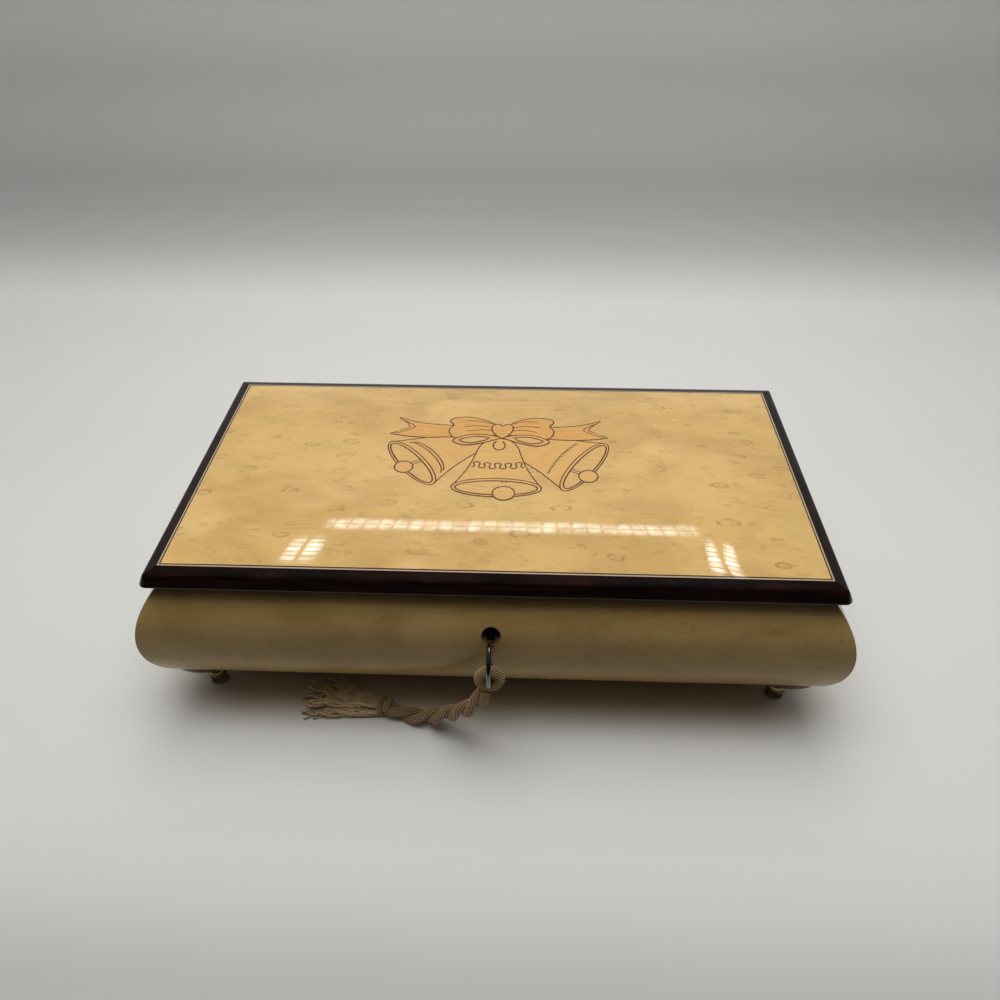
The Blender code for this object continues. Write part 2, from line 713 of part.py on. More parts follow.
def make_hinges(case, lid, finish, rails, mouldings, panel):
    """Two brass butt hinges let into the back rim, their barrels in the nook over the bulge."""
    knuckle = HINGE_LENGTH / 3
    knuckle_top = HINGE_Z + HINGE_RADIUS
    segments = 16
    for label, sign in (("left", -1), ("right", 1)):
        middle = sign * HINGE_SPREAD / 2
        inner_y = CASE_WIDTH / 2 - ARC_INSET_RIM - LEAF_REACH
        low_z = RIM_HEIGHT - LEAF_THICKNESS

        body = box_mesh(
            (middle - HINGE_LENGTH / 2, inner_y, low_z),
            (middle + HINGE_LENGTH / 2, HINGE_Y - LEAF_TO_AXIS, RIM_HEIGHT),
        )
        leaf = new_object(f"hinge_leaf_case_{label}", body, finish["brass"], case)
        reach = box_mesh(
            (middle - knuckle / 2 + RUN_GAP, HINGE_Y - LEAF_TO_AXIS - CUP_WALL, knuckle_top - LEAF_THICKNESS),
            (middle + knuckle / 2 - RUN_GAP, HINGE_Y, knuckle_top - FACE_STEP),
        )
        barrel = rod_mesh(HINGE_RADIUS, -knuckle / 2 + RUN_GAP, knuckle / 2 - RUN_GAP, "X", segments)
        join(
            leaf,
            new_object(f"guide_reach_case_{label}", reach, None, case),
            new_object(f"guide_barrel_case_{label}", barrel, None, case, (middle, HINGE_Y, HINGE_Z)),
        )
        bore = rod_mesh(HINGE_PIN_RADIUS + RUN_GAP / 2, -HINGE_LENGTH, HINGE_LENGTH, "X", segments)
        cut(leaf, new_object(f"cut_pin_case_{label}", bore, None, case, (middle, HINGE_Y, HINGE_Z)))

        mortise = box_mesh(
            (middle - HINGE_LENGTH / 2 - SEAT_GAP, inner_y - SEAT_GAP, low_z - SEAT_GAP),
            (middle + HINGE_LENGTH / 2 + SEAT_GAP, HINGE_Y, RIM_HEIGHT + CUT_OVERRUN),
        )
        cut(rails["back"], new_object(f"cut_leaf_case_{label}", mortise, None, case))

        upper = new_object(
            f"hinge_leaf_lid_{label}",
            box_mesh(
                (middle - HINGE_LENGTH / 2, inner_y - HINGE_Y, LID_UNDER - HINGE_Z),
                (middle + HINGE_LENGTH / 2, -HINGE_RADIUS, LID_UNDER + LEAF_THICKNESS - HINGE_Z),
            ),
            finish["brass"],
            lid,
        )
        for side in (-1, 1):
            a = middle + side * (HINGE_LENGTH / 2)
            b = middle + side * (knuckle / 2 + RUN_GAP)
            a, b = min(a, b), max(a, b)
            tab_low = LID_UNDER - HINGE_Z
            tab_top = tab_low + LEAF_THICKNESS
            tab = box_mesh((a, -HINGE_RADIUS - CUP_WALL, tab_low), (b, HINGE_RADIUS, tab_top))
            drop = box_mesh((a, HINGE_RADIUS - CUP_WALL, 0), (b, HINGE_RADIUS, (tab_low + tab_top) / 2))
            cup = rod_mesh(HINGE_RADIUS - FACE_STEP, a, b, "X", segments)
            join(
                upper,
                new_object(f"guide_tab_{label}_{side + 1}", tab, None, lid),
                new_object(f"guide_drop_{label}_{side + 1}", drop, None, lid),
                new_object(f"guide_cup_{label}_{side + 1}", cup, None, lid),
            )
        bore = rod_mesh(HINGE_PIN_RADIUS + RUN_GAP / 2, -HINGE_LENGTH, HINGE_LENGTH, "X", segments)
        cut(upper, new_object(f"cut_pin_lid_{label}", bore, None, lid, (middle, 0, 0)))

        pocket = box_mesh(
            (
                middle - HINGE_LENGTH / 2 - SEAT_GAP,
                inner_y - SEAT_GAP - HINGE_Y,
                LID_UNDER - CUT_OVERRUN - HINGE_Z,
            ),
            (
                middle + HINGE_LENGTH / 2 + SEAT_GAP,
                HINGE_RADIUS + SEAT_GAP,
                LID_UNDER + LEAF_THICKNESS + SEAT_GAP - HINGE_Z,
            ),
        )
        cutter = new_object(f"cut_leaf_lid_{label}", pocket, None, lid)
        cut(mouldings["back"], cutter)
        cut(panel, cutter)

        pin = stepped_mesh(
            [
                (-HINGE_LENGTH / 2 - PIN_HEAD, -HINGE_LENGTH / 2 - RUN_GAP, HINGE_RADIUS * 0.8),
                (-HINGE_LENGTH / 2 - RUN_GAP, HINGE_LENGTH / 2 + RUN_GAP, HINGE_PIN_RADIUS),
                (HINGE_LENGTH / 2 + RUN_GAP, HINGE_LENGTH / 2 + PIN_HEAD, HINGE_RADIUS * 0.8),
            ],
            "X",
            segments,
        )
        new_object(f"hinge_pin_{label}", pin, finish["brass"], case, (middle, HINGE_Y, HINGE_Z), smooth=40)


def make_lock(case, lid, finish, rails, panel):
    """A box lock let into the front rail from inside, its sliding bolt and the link plate on the lid."""
    half = LOCK_LENGTH / 2
    slot_half = LINK_WIDTH / 2 + LINK_PLAY
    bottom = LOCK_TOP_Z - LOCK_HEIGHT
    low = (-half, LOCK_FRONT_Y, bottom)
    high = (half, LOCK_BACK_Y, LOCK_TOP_Z)
    lock = new_object("lock_case", box_mesh(low, high), finish["brass"], case)
    hollow = box_mesh(
        (-half + LOCK_SHEET, LOCK_FRONT_Y - CUT_OVERRUN, bottom + LOCK_SHEET),
        (half - LOCK_SHEET, LOCK_BACK_Y - LOCK_SHEET, LOCK_TOP_Z - LOCK_SHEET),
    )
    slot = box_mesh(
        (LINK_OFFSET - LINK_PLAY, LOCK_MID_Y - slot_half, LOCK_TOP_Z - LOCK_SHEET - CUT_OVERRUN),
        (LINK_OFFSET + LINK_THICKNESS + LINK_PLAY, LOCK_MID_Y + slot_half, LOCK_TOP_Z + CUT_OVERRUN),
    )
    cut(lock, new_object("cut_lock_hollow", hollow, None, case))
    cut(lock, new_object("cut_link_slot", slot, None, case))
    inner_face = LOCK_BACK_Y - LOCK_SHEET
    pin_end = inner_face + LOCK_SHEET / 2
    drill_pin = rod_mesh(KEY_BORE_RADIUS - SEAT_GAP, inner_face - DRILL_PIN_LENGTH, pin_end, "Y", 16)
    join(lock, new_object("guide_drill_pin", drill_pin, None, case, (0, 0, KEY_HEIGHT)))

    mortise = box_mesh(
        (-half - SEAT_GAP, LOCK_FRONT_Y - SEAT_GAP, bottom - SEAT_GAP),
        (half + SEAT_GAP, -ROOM_Y + CUT_OVERRUN, RIM_HEIGHT + CUT_OVERRUN),
    )
    hole = rod_mesh(KEYHOLE_RADIUS, -CASE_WIDTH / 2 - CUT_OVERRUN, LOCK_FRONT_Y + CUT_OVERRUN, "Y", 32)
    cut(
        rails["front"],
        new_object("cut_lock_mortise", mortise, None, case),
        new_object("cut_keyhole", hole, None, case, (0, 0, KEY_HEIGHT)),
    )

    link_bottom = BOLT_Z - BOLT_HEIGHT / 2 - BOLT_PLAY - LINK_WALL
    plate_top = LID_UNDER + LEAF_THICKNESS
    plate_x = LINK_PLATE_LENGTH / 2
    plate_y = LINK_PLATE_WIDTH / 2
    body = box_mesh((-plate_x, LOCK_MID_Y - plate_y, LID_UNDER), (plate_x, LOCK_MID_Y + plate_y, plate_top))
    link = new_object("link_plate", body, finish["brass"], lid, (0, -HINGE_Y, -HINGE_Z))
    staple = box_mesh(
        (LINK_OFFSET, LOCK_MID_Y - LINK_WIDTH / 2, link_bottom),
        (LINK_OFFSET + LINK_THICKNESS, LOCK_MID_Y + LINK_WIDTH / 2, plate_top - LEAF_THICKNESS / 4),
    )
    eye_y = BOLT_THICKNESS / 2 + BOLT_PLAY
    eye_z = BOLT_HEIGHT / 2 + BOLT_PLAY
    eye = box_mesh(
        (LINK_OFFSET - CUT_OVERRUN, LOCK_MID_Y - eye_y, BOLT_Z - eye_z),
        (LINK_OFFSET + LINK_THICKNESS + CUT_OVERRUN, LOCK_MID_Y + eye_y, BOLT_Z + eye_z),
    )
    join(link, new_object("guide_staple", staple, None, lid, (0, -HINGE_Y, -HINGE_Z)))
    cut(link, new_object("cut_staple_eye", eye, None, lid, (0, -HINGE_Y, -HINGE_Z)))
    seat = box_mesh(
        (-plate_x - SEAT_GAP, LOCK_MID_Y - plate_y - SEAT_GAP, LID_UNDER - CUT_OVERRUN),
        (plate_x + SEAT_GAP, LOCK_MID_Y + plate_y + SEAT_GAP, plate_top + SEAT_GAP),
    )
    cut(panel, new_object("cut_link_seat", seat, None, lid, (0, -HINGE_Y, -HINGE_Z)))


def make_bolt(case, finish):
    """The bolt: a bar that shoots through the link, with a stepped talon that the key pushes."""
    nose = LINK_OFFSET - LINK_PLAY
    talon_left = -KEY_BIT_REACH + TALON_GAP
    talon_right = talon_left + TALON_WIDTH
    talon_low = KEY_HEIGHT + KEY_BIT_REACH - TALON_DEPTH
    arm_low = KEY_HEIGHT + KEY_BIT_REACH + BOLT_PLAY
    arm_high = arm_low + BOLT_THICKNESS
    arm_left = -BOLT_TAIL / 2 - BOLT_ARM / 2
    arm_right = arm_left + BOLT_ARM
    bar_low = BOLT_Z - BOLT_HEIGHT / 2
    bar_high = BOLT_Z + BOLT_HEIGHT / 2
    outline = [
        (-BOLT_TAIL, bar_low),
        (arm_left, bar_low),
        (arm_left, arm_low),
        (talon_left, arm_low),
        (talon_left, talon_low),
        (talon_right, talon_low),
        (talon_right, arm_high),
        (arm_right, arm_high),
        (arm_right, bar_low),
        (nose, bar_low),
        (nose, bar_high),
        (-BOLT_TAIL, bar_high),
    ]
    bm = plate_mesh(outline, LOCK_MID_Y - BOLT_THICKNESS / 2, LOCK_MID_Y + BOLT_THICKNESS / 2)
    new_object("lock_bolt", bm, finish["steel"], case)


def make_key(key, finish):
    """A ring bow on a hollow shank with a collar and one bit. The key's axis runs along Y."""
    shank_end = LOCK_BACK_Y - LOCK_SHEET - KEY_END_GAP
    neck = RING_Y + KEY_RING_RADIUS
    step = KEY_SHANK_RADIUS * 0.7
    profile = [
        (0, neck - SEAT_GAP),
        (KEY_SHANK_RADIUS * 0.8, neck - SEAT_GAP),
        (KEY_SHANK_RADIUS, neck + step),
        (KEY_SHANK_RADIUS * 1.5, neck + step * 1.7),
        (KEY_SHANK_RADIUS * 1.5, neck + step * 2.5),
        (KEY_SHANK_RADIUS, neck + step * 3),
        (KEY_SHANK_RADIUS, shank_end),
        (0, shank_end),
    ]
    body = new_object("key", turned_mesh(profile, 20, "Y"), finish["key_metal"], key, smooth=35)
    ring = ring_tube_mesh(KEY_RING_RADIUS, KEY_WIRE_RADIUS, 32, 8, "YZ")
    bit = box_mesh(
        (-KEY_BIT_REACH, LOCK_MID_Y - KEY_BIT_WIDTH / 2, -KEY_BIT_THICKNESS / 2),
        (-KEY_BORE_RADIUS / 4, LOCK_MID_Y + KEY_BIT_WIDTH / 2, KEY_BIT_THICKNESS / 2),
    )
    bow = new_object("guide_bow", ring, None, key, (0, RING_Y, 0))
    join(body, bow, new_object("guide_bit", bit, None, key))
    bore = rod_mesh(KEY_BORE_RADIUS, shank_end - KEY_BORE_LENGTH, shank_end + CUT_OVERRUN, "Y", 16)
    cut(body, new_object("cut_key_bore", bore, None, key))


def smooth_route(points, per_span):
    """Points along a Catmull-Rom curve through the given points."""
    path = [Vector(p) for p in points]
    path = [path[0] * 2 - path[1]] + path + [path[-1] * 2 - path[-2]]
    made = []
    for k in range(1, len(path) - 2):
        p0, p1, p2, p3 = path[k - 1 : k + 3]
        for step in range(per_span):
            t = step / per_span
            made.append(
                0.5
                * (
                    2 * p1
                    + (p2 - p0) * t
                    + (2 * p0 - 5 * p1 + 4 * p2 - p3) * t * t
                    + (3 * p1 - p0 - 3 * p2 + p3) * t**3
                )
            )
    made.append(path[-2])
    return made


def make_tassel(slider, key, finish):
    """The cotton tassel: an eye round the bow, a twisted rope down to the table, and a frayed end."""
    middle_radius = LOOP_OUTER_RADIUS - LOOP_STRAND_RADIUS
    slack = middle_radius - LOOP_STRAND_RADIUS - KEY_WIRE_RADIUS - SEAT_GAP
    loop_z = -KEY_RING_RADIUS - slack
    bm = ring_tube_mesh(middle_radius, LOOP_STRAND_RADIUS, 18, 8, "XZ")
    new_object("tassel_loop", bm, finish["cotton"], key, (0, RING_Y, loop_z), smooth=60)

    curve = bpy.data.curves.new("tassel_rope", "CURVE")
    curve.dimensions = "3D"
    curve.bevel_depth = ROPE_DIAMETER / 2
    curve.bevel_resolution = 2
    curve.use_fill_caps = True
    points = smooth_route(ROPE_ROUTE, 2)
    spline = curve.splines.new("POLY")
    spline.points.add(len(points) - 1)
    for point, place in zip(spline.points, points):
        point.co = (*place, 1.0)
    curve.materials.append(finish["cotton"])
    rope = bpy.data.objects.new("tassel_rope", curve)
    bpy.context.scene.collection.objects.link(rope)
    rope.parent = slider
    rope.location = (0, 0, -KEY_HEIGHT)

    start = Vector(ROPE_ROUTE[-1])
    ahead = (start - Vector(ROPE_ROUTE[-2])).normalized()
    start += ahead * (SEAT_GAP * 2)
    heading = Vector((math.cos(FRINGE_HEADING), math.sin(FRINGE_HEADING), 0))
    bm = bmesh.new()
    rings = []
    sides = 14
    for share, width, height in FRINGE_STATIONS:
        centre = start + heading * (FRINGE_LENGTH * share)
        facing = ahead.lerp(heading, min(share * 6, 1.0)).normalized()
        across = Vector((-facing.y, facing.x, 0))
        ring = []
        for k in range(sides):
            a = 2 * math.pi * k / sides
            place = centre + across * (width / 2 * math.cos(a))
            place.z = RUN_GAP + height / 2 * (1 + math.sin(a))
            ring.append(bm.verts.new(place))
        rings.append(ring)
    bm.faces.new(rings[0])
    bm.faces.new(rings[-1])
    for lower, upper in zip(rings, rings[1:]):
        bridge_rings(bm, lower, upper)
    new_object("tassel_fringe", bm, finish["cotton"], slider, (0, 0, -KEY_HEIGHT), smooth=50)


def make_interior(case, finish):
    """Velvet on the walls and floors, the dividers, and the raised ring bed with its rolls."""
    top = RIM_HEIGHT - VELVET
    seat = FLOOR + SEAT_GAP
    outer_x = ROOM_X - SEAT_GAP
    outer_y = ROOM_Y - SEAT_GAP
    bm = box_mesh((-outer_x, -outer_y, seat), (outer_x, outer_y, top))
    lining = new_object("wall_lining", bm, finish["velvet"], case)
    inside = box_mesh((-LINED_X, -LINED_Y, seat - CUT_OVERRUN), (LINED_X, LINED_Y, top + CUT_OVERRUN))
    cut(lining, new_object("cut_lining_room", inside, None, case))

    gap = SEAT_GAP
    cross_right = BAY_LEFT - gap
    cross_left = cross_right - DIVIDER
    wall_y = LINED_Y - gap
    divider_top = FLOOR + DIVIDER_HEIGHT
    bm = box_mesh((cross_left, -wall_y, seat), (cross_right, wall_y, divider_top))
    soften(bm, SOFT_EDGE)
    new_object("divider_cross", bm, finish["velvet"], case)
    bay_wall_y = BAY_FRONT - gap
    bm = box_mesh((BAY_LEFT, bay_wall_y - DIVIDER, seat), (BAY_RIGHT, bay_wall_y, divider_top))
    soften(bm, SOFT_EDGE)
    new_object("divider_bay", bm, finish["velvet"], case)
    bm = box_mesh((BAY_LEFT, -wall_y, seat), (BAY_RIGHT, bay_wall_y - DIVIDER - gap, seat + VELVET))
    new_object("tray_lining", bm, finish["velvet"], case)

    bed_left = -LINED_X + gap
    bed_right = bed_left + RING_BED_LENGTH
    plinth_top = FLOOR + RING_PLINTH_HEIGHT
    bm = box_mesh((bed_left, -wall_y, seat), (bed_right, wall_y, plinth_top))
    new_object("ring_plinth", bm, finish["velvet"], case)
    ring_wall = bed_right + gap
    bm = box_mesh((ring_wall, -wall_y, seat), (ring_wall + DIVIDER, wall_y, divider_top))
    soften(bm, SOFT_EDGE)
    new_object("divider_ring", bm, finish["velvet"], case)
    floor_left = ring_wall + DIVIDER + gap
    bm = box_mesh((floor_left, -wall_y, seat), (cross_left - gap, wall_y, seat + VELVET))
    new_object("floor_lining", bm, finish["velvet"], case)

    pitch = RING_BED_LENGTH / RING_ROLLS
    radius = RING_ROLL_DIAMETER / 2
    length = wall_y - gap
    profile = [
        (0, -length),
        (radius * 0.62, -length),
        (radius * 0.92, -length + RING_ROLL_TAPER * 0.3),
        (radius, -length + RING_ROLL_TAPER),
    ]
    profile += [(r, -h) for r, h in reversed(profile)]
    for number in range(RING_ROLLS):
        place = (bed_left + pitch * (number + 0.5), 0, plinth_top + gap + radius)
        bm = turned_mesh(profile, 16, "Y")
        new_object(f"ring_roll_{number + 1}", bm, finish["velvet"], case, place, smooth=50)


def round_top(bm, top, radius, segments):
    """Rounds the two upper edges of a block that run along Y."""
    edges = []
    for edge in bm.edges:
        along = (edge.verts[0].co - edge.verts[1].co).normalized()
        if abs(along.y) > 0.9 and edge.verts[0].co.z > top - FACE_STEP:
            edges.append(edge)
    bmesh.ops.bevel(bm, geom=edges, offset=radius, segments=segments, profile=0.5, affect="EDGES")


def make_cover(case, finish):
    """A bent clear sheet over the movement: a top on two side legs, with a finger hole."""
    left = BAY_LEFT + SEAT_GAP
    right = BAY_RIGHT - SEAT_GAP
    front = BAY_FRONT + SEAT_GAP
    back = BAY_BACK - SEAT_GAP
    low = FLOOR + SEAT_GAP
    top = FLOOR + COVER_HEIGHT
    bm = box_mesh((left, front, low), (right, back, top))
    round_top(bm, top, COVER_BEND, 4)
    cover = new_object("movement_cover", bm, finish["clear"], case, smooth=35)
    inner_top = top - COVER_SHEET
    inner = box_mesh(
        (left + COVER_SHEET, front - CUT_OVERRUN, low - CUT_OVERRUN),
        (right - COVER_SHEET, back + CUT_OVERRUN, inner_top),
    )
    round_top(inner, inner_top, COVER_BEND - COVER_SHEET, 3)
    finger = rod_mesh(COVER_FINGER_HOLE, top - 2 * COVER_SHEET, top + CUT_OVERRUN, "Z", 24)
    rod_hole = rod_mesh(PLUNGER_RADIUS + COVER_ROD_GAP, top - 2 * COVER_SHEET, top + CUT_OVERRUN, "Z", 16)
    finger_place = (left + COVER_FINGER_HOLE * 2, front + COVER_FINGER_HOLE * 1.7, 0)
    cut(
        cover,
        new_object("cut_cover_inside", inner, None, case),
        new_object("cut_finger_hole", finger, None, case, finger_place),
        new_object("cut_plunger_hole", rod_hole, None, case, (WORM_X, PLUNGER_Y, 0)),
    )


def make_bed(case, finish):
    """The cast bed with its legs, its raised comb seat and the hole for the winding shaft."""
    half_x = BED_LENGTH / 2
    half_y = BED_WIDTH / 2
    bm = box_mesh((BED_X - half_x, BED_Y - half_y, BED_UNDER), (BED_X + half_x, BED_Y + half_y, BED_TOP))
    corners = [e for e in bm.edges if abs((e.verts[0].co - e.verts[1].co).normalized().z) > 0.9]
    bmesh.ops.bevel(bm, geom=corners, offset=BED_CORNER, segments=4, profile=0.5, affect="EDGES")
    bed = new_object("movement_bed", bm, finish["zinc"], case, smooth=35)
    for number, (sx, sy) in enumerate(CORNERS):
        place = (BED_X + sx * (half_x - BED_LEG_INSET), BED_Y + sy * (half_y - BED_LEG_INSET), 0)
        leg = rod_mesh(BED_LEG_RADIUS, FLOOR + SEAT_GAP, BED_UNDER + BED_THICKNESS / 3, "Z", 16)
        join(bed, new_object(f"guide_bed_leg_{number}", leg, None, case, place))
    comb_under = CYLINDER_Z - COMB_THICKNESS / 2 - SEAT_GAP
    seat = box_mesh(
        (CYLINDER_X0 - COMB_SEAT_MARGIN, BED_Y - half_y + COMB_MARGIN, BED_TOP - BED_THICKNESS / 3),
        (CYLINDER_X1 + COMB_SEAT_MARGIN, BED_Y - half_y + COMB_SEAT, comb_under),
    )
    soften(seat, SOFT_EDGE)
    join(bed, new_object("guide_comb_seat", seat, None, case))
    hole = rod_mesh(WINDING_RADIUS + RUN_GAP, BED_UNDER - CUT_OVERRUN, BED_TOP + CUT_OVERRUN, "Z", 20)
    cut(bed, new_object("cut_bed_winding_hole", hole, None, case, (BARREL_X, BED_Y, 0)))
    step = rod_mesh(WORM_STEP_RADIUS, BED_TOP - WORM_STEP_DEPTH, BED_TOP + CUT_OVERRUN, "Z", 16)
    cut(bed, new_object("cut_worm_step", step, None, case, (WORM_X, WORM_Y, 0)))


def make_comb(case, finish):
    """The steel comb: eighteen teeth whose slots shorten from the bass end to the treble end."""
    tip = BED_Y - CYLINDER_RADIUS - PIN_HEIGHT - COMB_TIP_GAP
    back = tip - COMB_DEPTH
    left = CYLINDER_X0 + CYLINDER_MARGIN
    right = left + COMB_TEETH * COMB_PITCH
    treble = tip - COMB_TREBLE_SLOT
    bass = tip - COMB_BASS_SLOT
    outline = [(left - COMB_MARGIN, back), (right + COMB_MARGIN, back)]
    outline += [(right + COMB_MARGIN, treble), (right - COMB_SLOT / 2, treble)]
    for tooth in range(COMB_TEETH - 1, -1, -1):
        share = tooth / (COMB_TEETH - 1)
        root = bass + (treble - bass) * share
        tooth_right = left + (tooth + 1) * COMB_PITCH - COMB_SLOT / 2
        tooth_left = left + tooth * COMB_PITCH + COMB_SLOT / 2
        outline += [(tooth_right, tip), (tooth_left, tip)]
        if tooth:
            outline += [(tooth_left, root), (tooth_left - COMB_SLOT, root)]
    outline += [(left + COMB_SLOT / 2, bass), (left - COMB_MARGIN, bass)]
    bm = prism_mesh(outline, CYLINDER_Z - COMB_THICKNESS / 2, CYLINDER_Z + COMB_THICKNESS / 2)
    new_object("comb", bm, finish["steel"], case)


def make_barrel(pivot, case, finish):
    """The spring barrel, a drum with a crown of teeth on its upper rim, and the bridge over it."""
    inner = CROWN_RADIUS - CROWN_BAND
    bm = bmesh.new()
    stations = []
    for tooth in range(CROWN_TEETH):
        for share, height in ((0.13, 0.0), (0.35, TOOTH_HEIGHT), (0.65, TOOTH_HEIGHT), (0.87, 0.0)):
            angle = 2 * math.pi * (tooth + share) / CROWN_TEETH
            level = CROWN_Z - TOOTH_HEIGHT * 0.6 + height
            ring = [
                bm.verts.new((radius * math.cos(angle), radius * math.sin(angle), z - CROWN_Z))
                for radius, z in (
                    (BARREL_RADIUS, BARREL_FLOOR),
                    (BARREL_RADIUS, level),
                    (inner, level),
                    (inner, CROWN_Z - CROWN_RECESS),
                )
            ]
            stations.append(ring)
    for k in range(len(stations)):
        first = stations[k]
        second = stations[(k + 1) % len(stations)]
        for a in range(3):
            bm.faces.new((first[a], second[a], second[a + 1], first[a + 1]))
    bm.faces.new([ring[0] for ring in stations])
    bm.faces.new([ring[3] for ring in stations])
    barrel = new_object("spring_barrel", bm, finish["brass"], pivot)
    bore = rod_mesh(WINDING_RADIUS + RUN_GAP, -BARREL_HEIGHT - CUT_OVERRUN, CUT_OVERRUN, "Z", 20)
    cut(barrel, new_object("cut_barrel_bore", bore, None, pivot))

    low = BRIDGE_LOW
    high = BRIDGE_TOP
    reach = BARREL_RADIUS + BRIDGE_OVERHANG
    half = BRIDGE_WIDTH / 2
    bm = box_mesh((BARREL_X - half, BED_Y - reach, low), (BARREL_X + half, BED_Y + reach, high))
    bridge = new_object("barrel_bridge", bm, finish["brass"], case)
    post_x = BRIDGE_POST_LENGTH / 2
    post_y = BRIDGE_POST_DEPTH / 2
    for number, side in enumerate((-1, 1)):
        middle = BED_Y + side * reach
        post = box_mesh(
            (BARREL_X - post_x, middle - post_y, BED_TOP + SEAT_GAP),
            (BARREL_X + post_x, middle + post_y, high - PLATE / 6),
        )
        join(bridge, new_object(f"guide_bridge_post_{number}", post, None, case))
    tab_y = BRIDGE_TAB_WIDTH / 2
    tab_x = BRIDGE_TAB_X + PLATE
    tongue = box_mesh(
        (BARREL_X + post_x, BED_Y - tab_y, low + PLATE / 12),
        (tab_x, BED_Y + tab_y, high - PLATE / 12),
    )
    tab = box_mesh((BRIDGE_TAB_X, BED_Y - tab_y, low + PLATE / 6), (tab_x, BED_Y + tab_y, CYLINDER_Z + tab_y))
    join(bridge, new_object("guide_tongue", tongue, None, case), new_object("guide_tab", tab, None, case))
    pivot_hole = rod_mesh(ARBOR_RADIUS + RUN_GAP, -CUT_OVERRUN, PLATE + CUT_OVERRUN, "X", 16)
    cut(bridge, new_object("cut_tab_pivot", pivot_hole, None, case, (BRIDGE_TAB_X, BED_Y, CYLINDER_Z)))
    top_hole = rod_mesh(WINDING_RADIUS + RUN_GAP, low - CUT_OVERRUN, high + CUT_OVERRUN, "Z", 20)
    cut(bridge, new_object("cut_bridge_shaft", top_hole, None, case, (BARREL_X, BED_Y, 0)))


def make_cylinder(pivot, finish):
    """The pinned cylinder on its arbor, with the pinion in the crown teeth and the gear at the end."""
    start = BRIDGE_TAB_X - 2 * RUN_GAP - CYLINDER_X0
    pinion_low = PINION_X0 - CYLINDER_X0
    end = FRAME_X + PLATE + 2 * RUN_GAP - CYLINDER_X0
    bm = rod_mesh(ARBOR_RADIUS, start, end, "X", 16)
    arbor = new_object("cylinder_arbor", bm, finish["steel"], pivot, smooth=40)
    outline = gear_outline(PINION_TEETH, PINION_RADIUS, TOOTH_HEIGHT, 0.36)
    pinion = prism_mesh(outline, pinion_low, pinion_low + PINION_WIDTH, "X")
    join(arbor, new_object("guide_pinion", pinion, None, pivot))

    bore = ARBOR_RADIUS + SEAT_GAP
    chamfer = CYLINDER_RADIUS / 16
    profile = [
        (bore, 0),
        (CYLINDER_RADIUS - chamfer, 0),
        (CYLINDER_RADIUS, chamfer),
        (CYLINDER_RADIUS, CYLINDER_LENGTH - chamfer),
        (CYLINDER_RADIUS - chamfer, CYLINDER_LENGTH),
        (bore, CYLINDER_LENGTH),
    ]
    sides = 30
    bm = bmesh.new()
    rings = []
    for radius, along in profile:
        steps = [2 * math.pi * k / sides for k in range(sides)]
        rings.append([bm.verts.new((along, radius * math.cos(a), radius * math.sin(a))) for a in steps])
    for k in range(len(rings)):
        bridge_rings(bm, rings[k], rings[(k + 1) % len(rings)])
    drum = new_object("cylinder", bm, finish["brass"], pivot, smooth=30)
    join(drum, new_object("guide_pins", pins_mesh(), None, pivot))

    gear_low = GEAR_X - CYLINDER_X0
    outline = gear_outline(CYLINDER_GEAR_TEETH, GEAR_RADIUS, TOOTH_HEIGHT * 0.8, 0.34)
    gear_high = gear_low + GEAR_WIDTH
    gear = new_object("cylinder_gear", prism_mesh(outline, gear_low, gear_high, "X"), finish["brass"], pivot)
    bore = rod_mesh(ARBOR_RADIUS + SEAT_GAP, gear_low - CUT_OVERRUN, gear_high + CUT_OVERRUN, "X", 16)
    cut(gear, new_object("cut_gear_bore", bore, None, pivot))


def pins_mesh():
    """Tapered pins in eighteen tracks, spread by the golden angle so that no two lie side by side."""
    golden = math.pi * (3 - math.sqrt(5))
    bm = bmesh.new()
    for track in range(COMB_TEETH):
        along = CYLINDER_MARGIN + (track + 0.5) * COMB_PITCH
        for number in range(PINS_PER_TOOTH):
            angle = golden * (track * PINS_PER_TOOTH + number) + 0.4
            radial = Vector((0, math.cos(angle), math.sin(angle)))
            side = Vector((0, -math.sin(angle), math.cos(angle)))
            ends = []
            for half, out in ((PIN_HALF_WIDTH, -PIN_ROOT), (PIN_HALF_WIDTH * 0.6, PIN_HEIGHT)):
                centre = Vector((along, 0, 0)) + radial * (CYLINDER_RADIUS + out)
                corners = [centre + Vector((u * half, 0, 0)) + side * (v * half) for u, v in CORNERS]
                ends.append([bm.verts.new(corner) for corner in corners])
                bm.faces.new(ends[-1])
            bridge_rings(bm, *ends)
    return bm


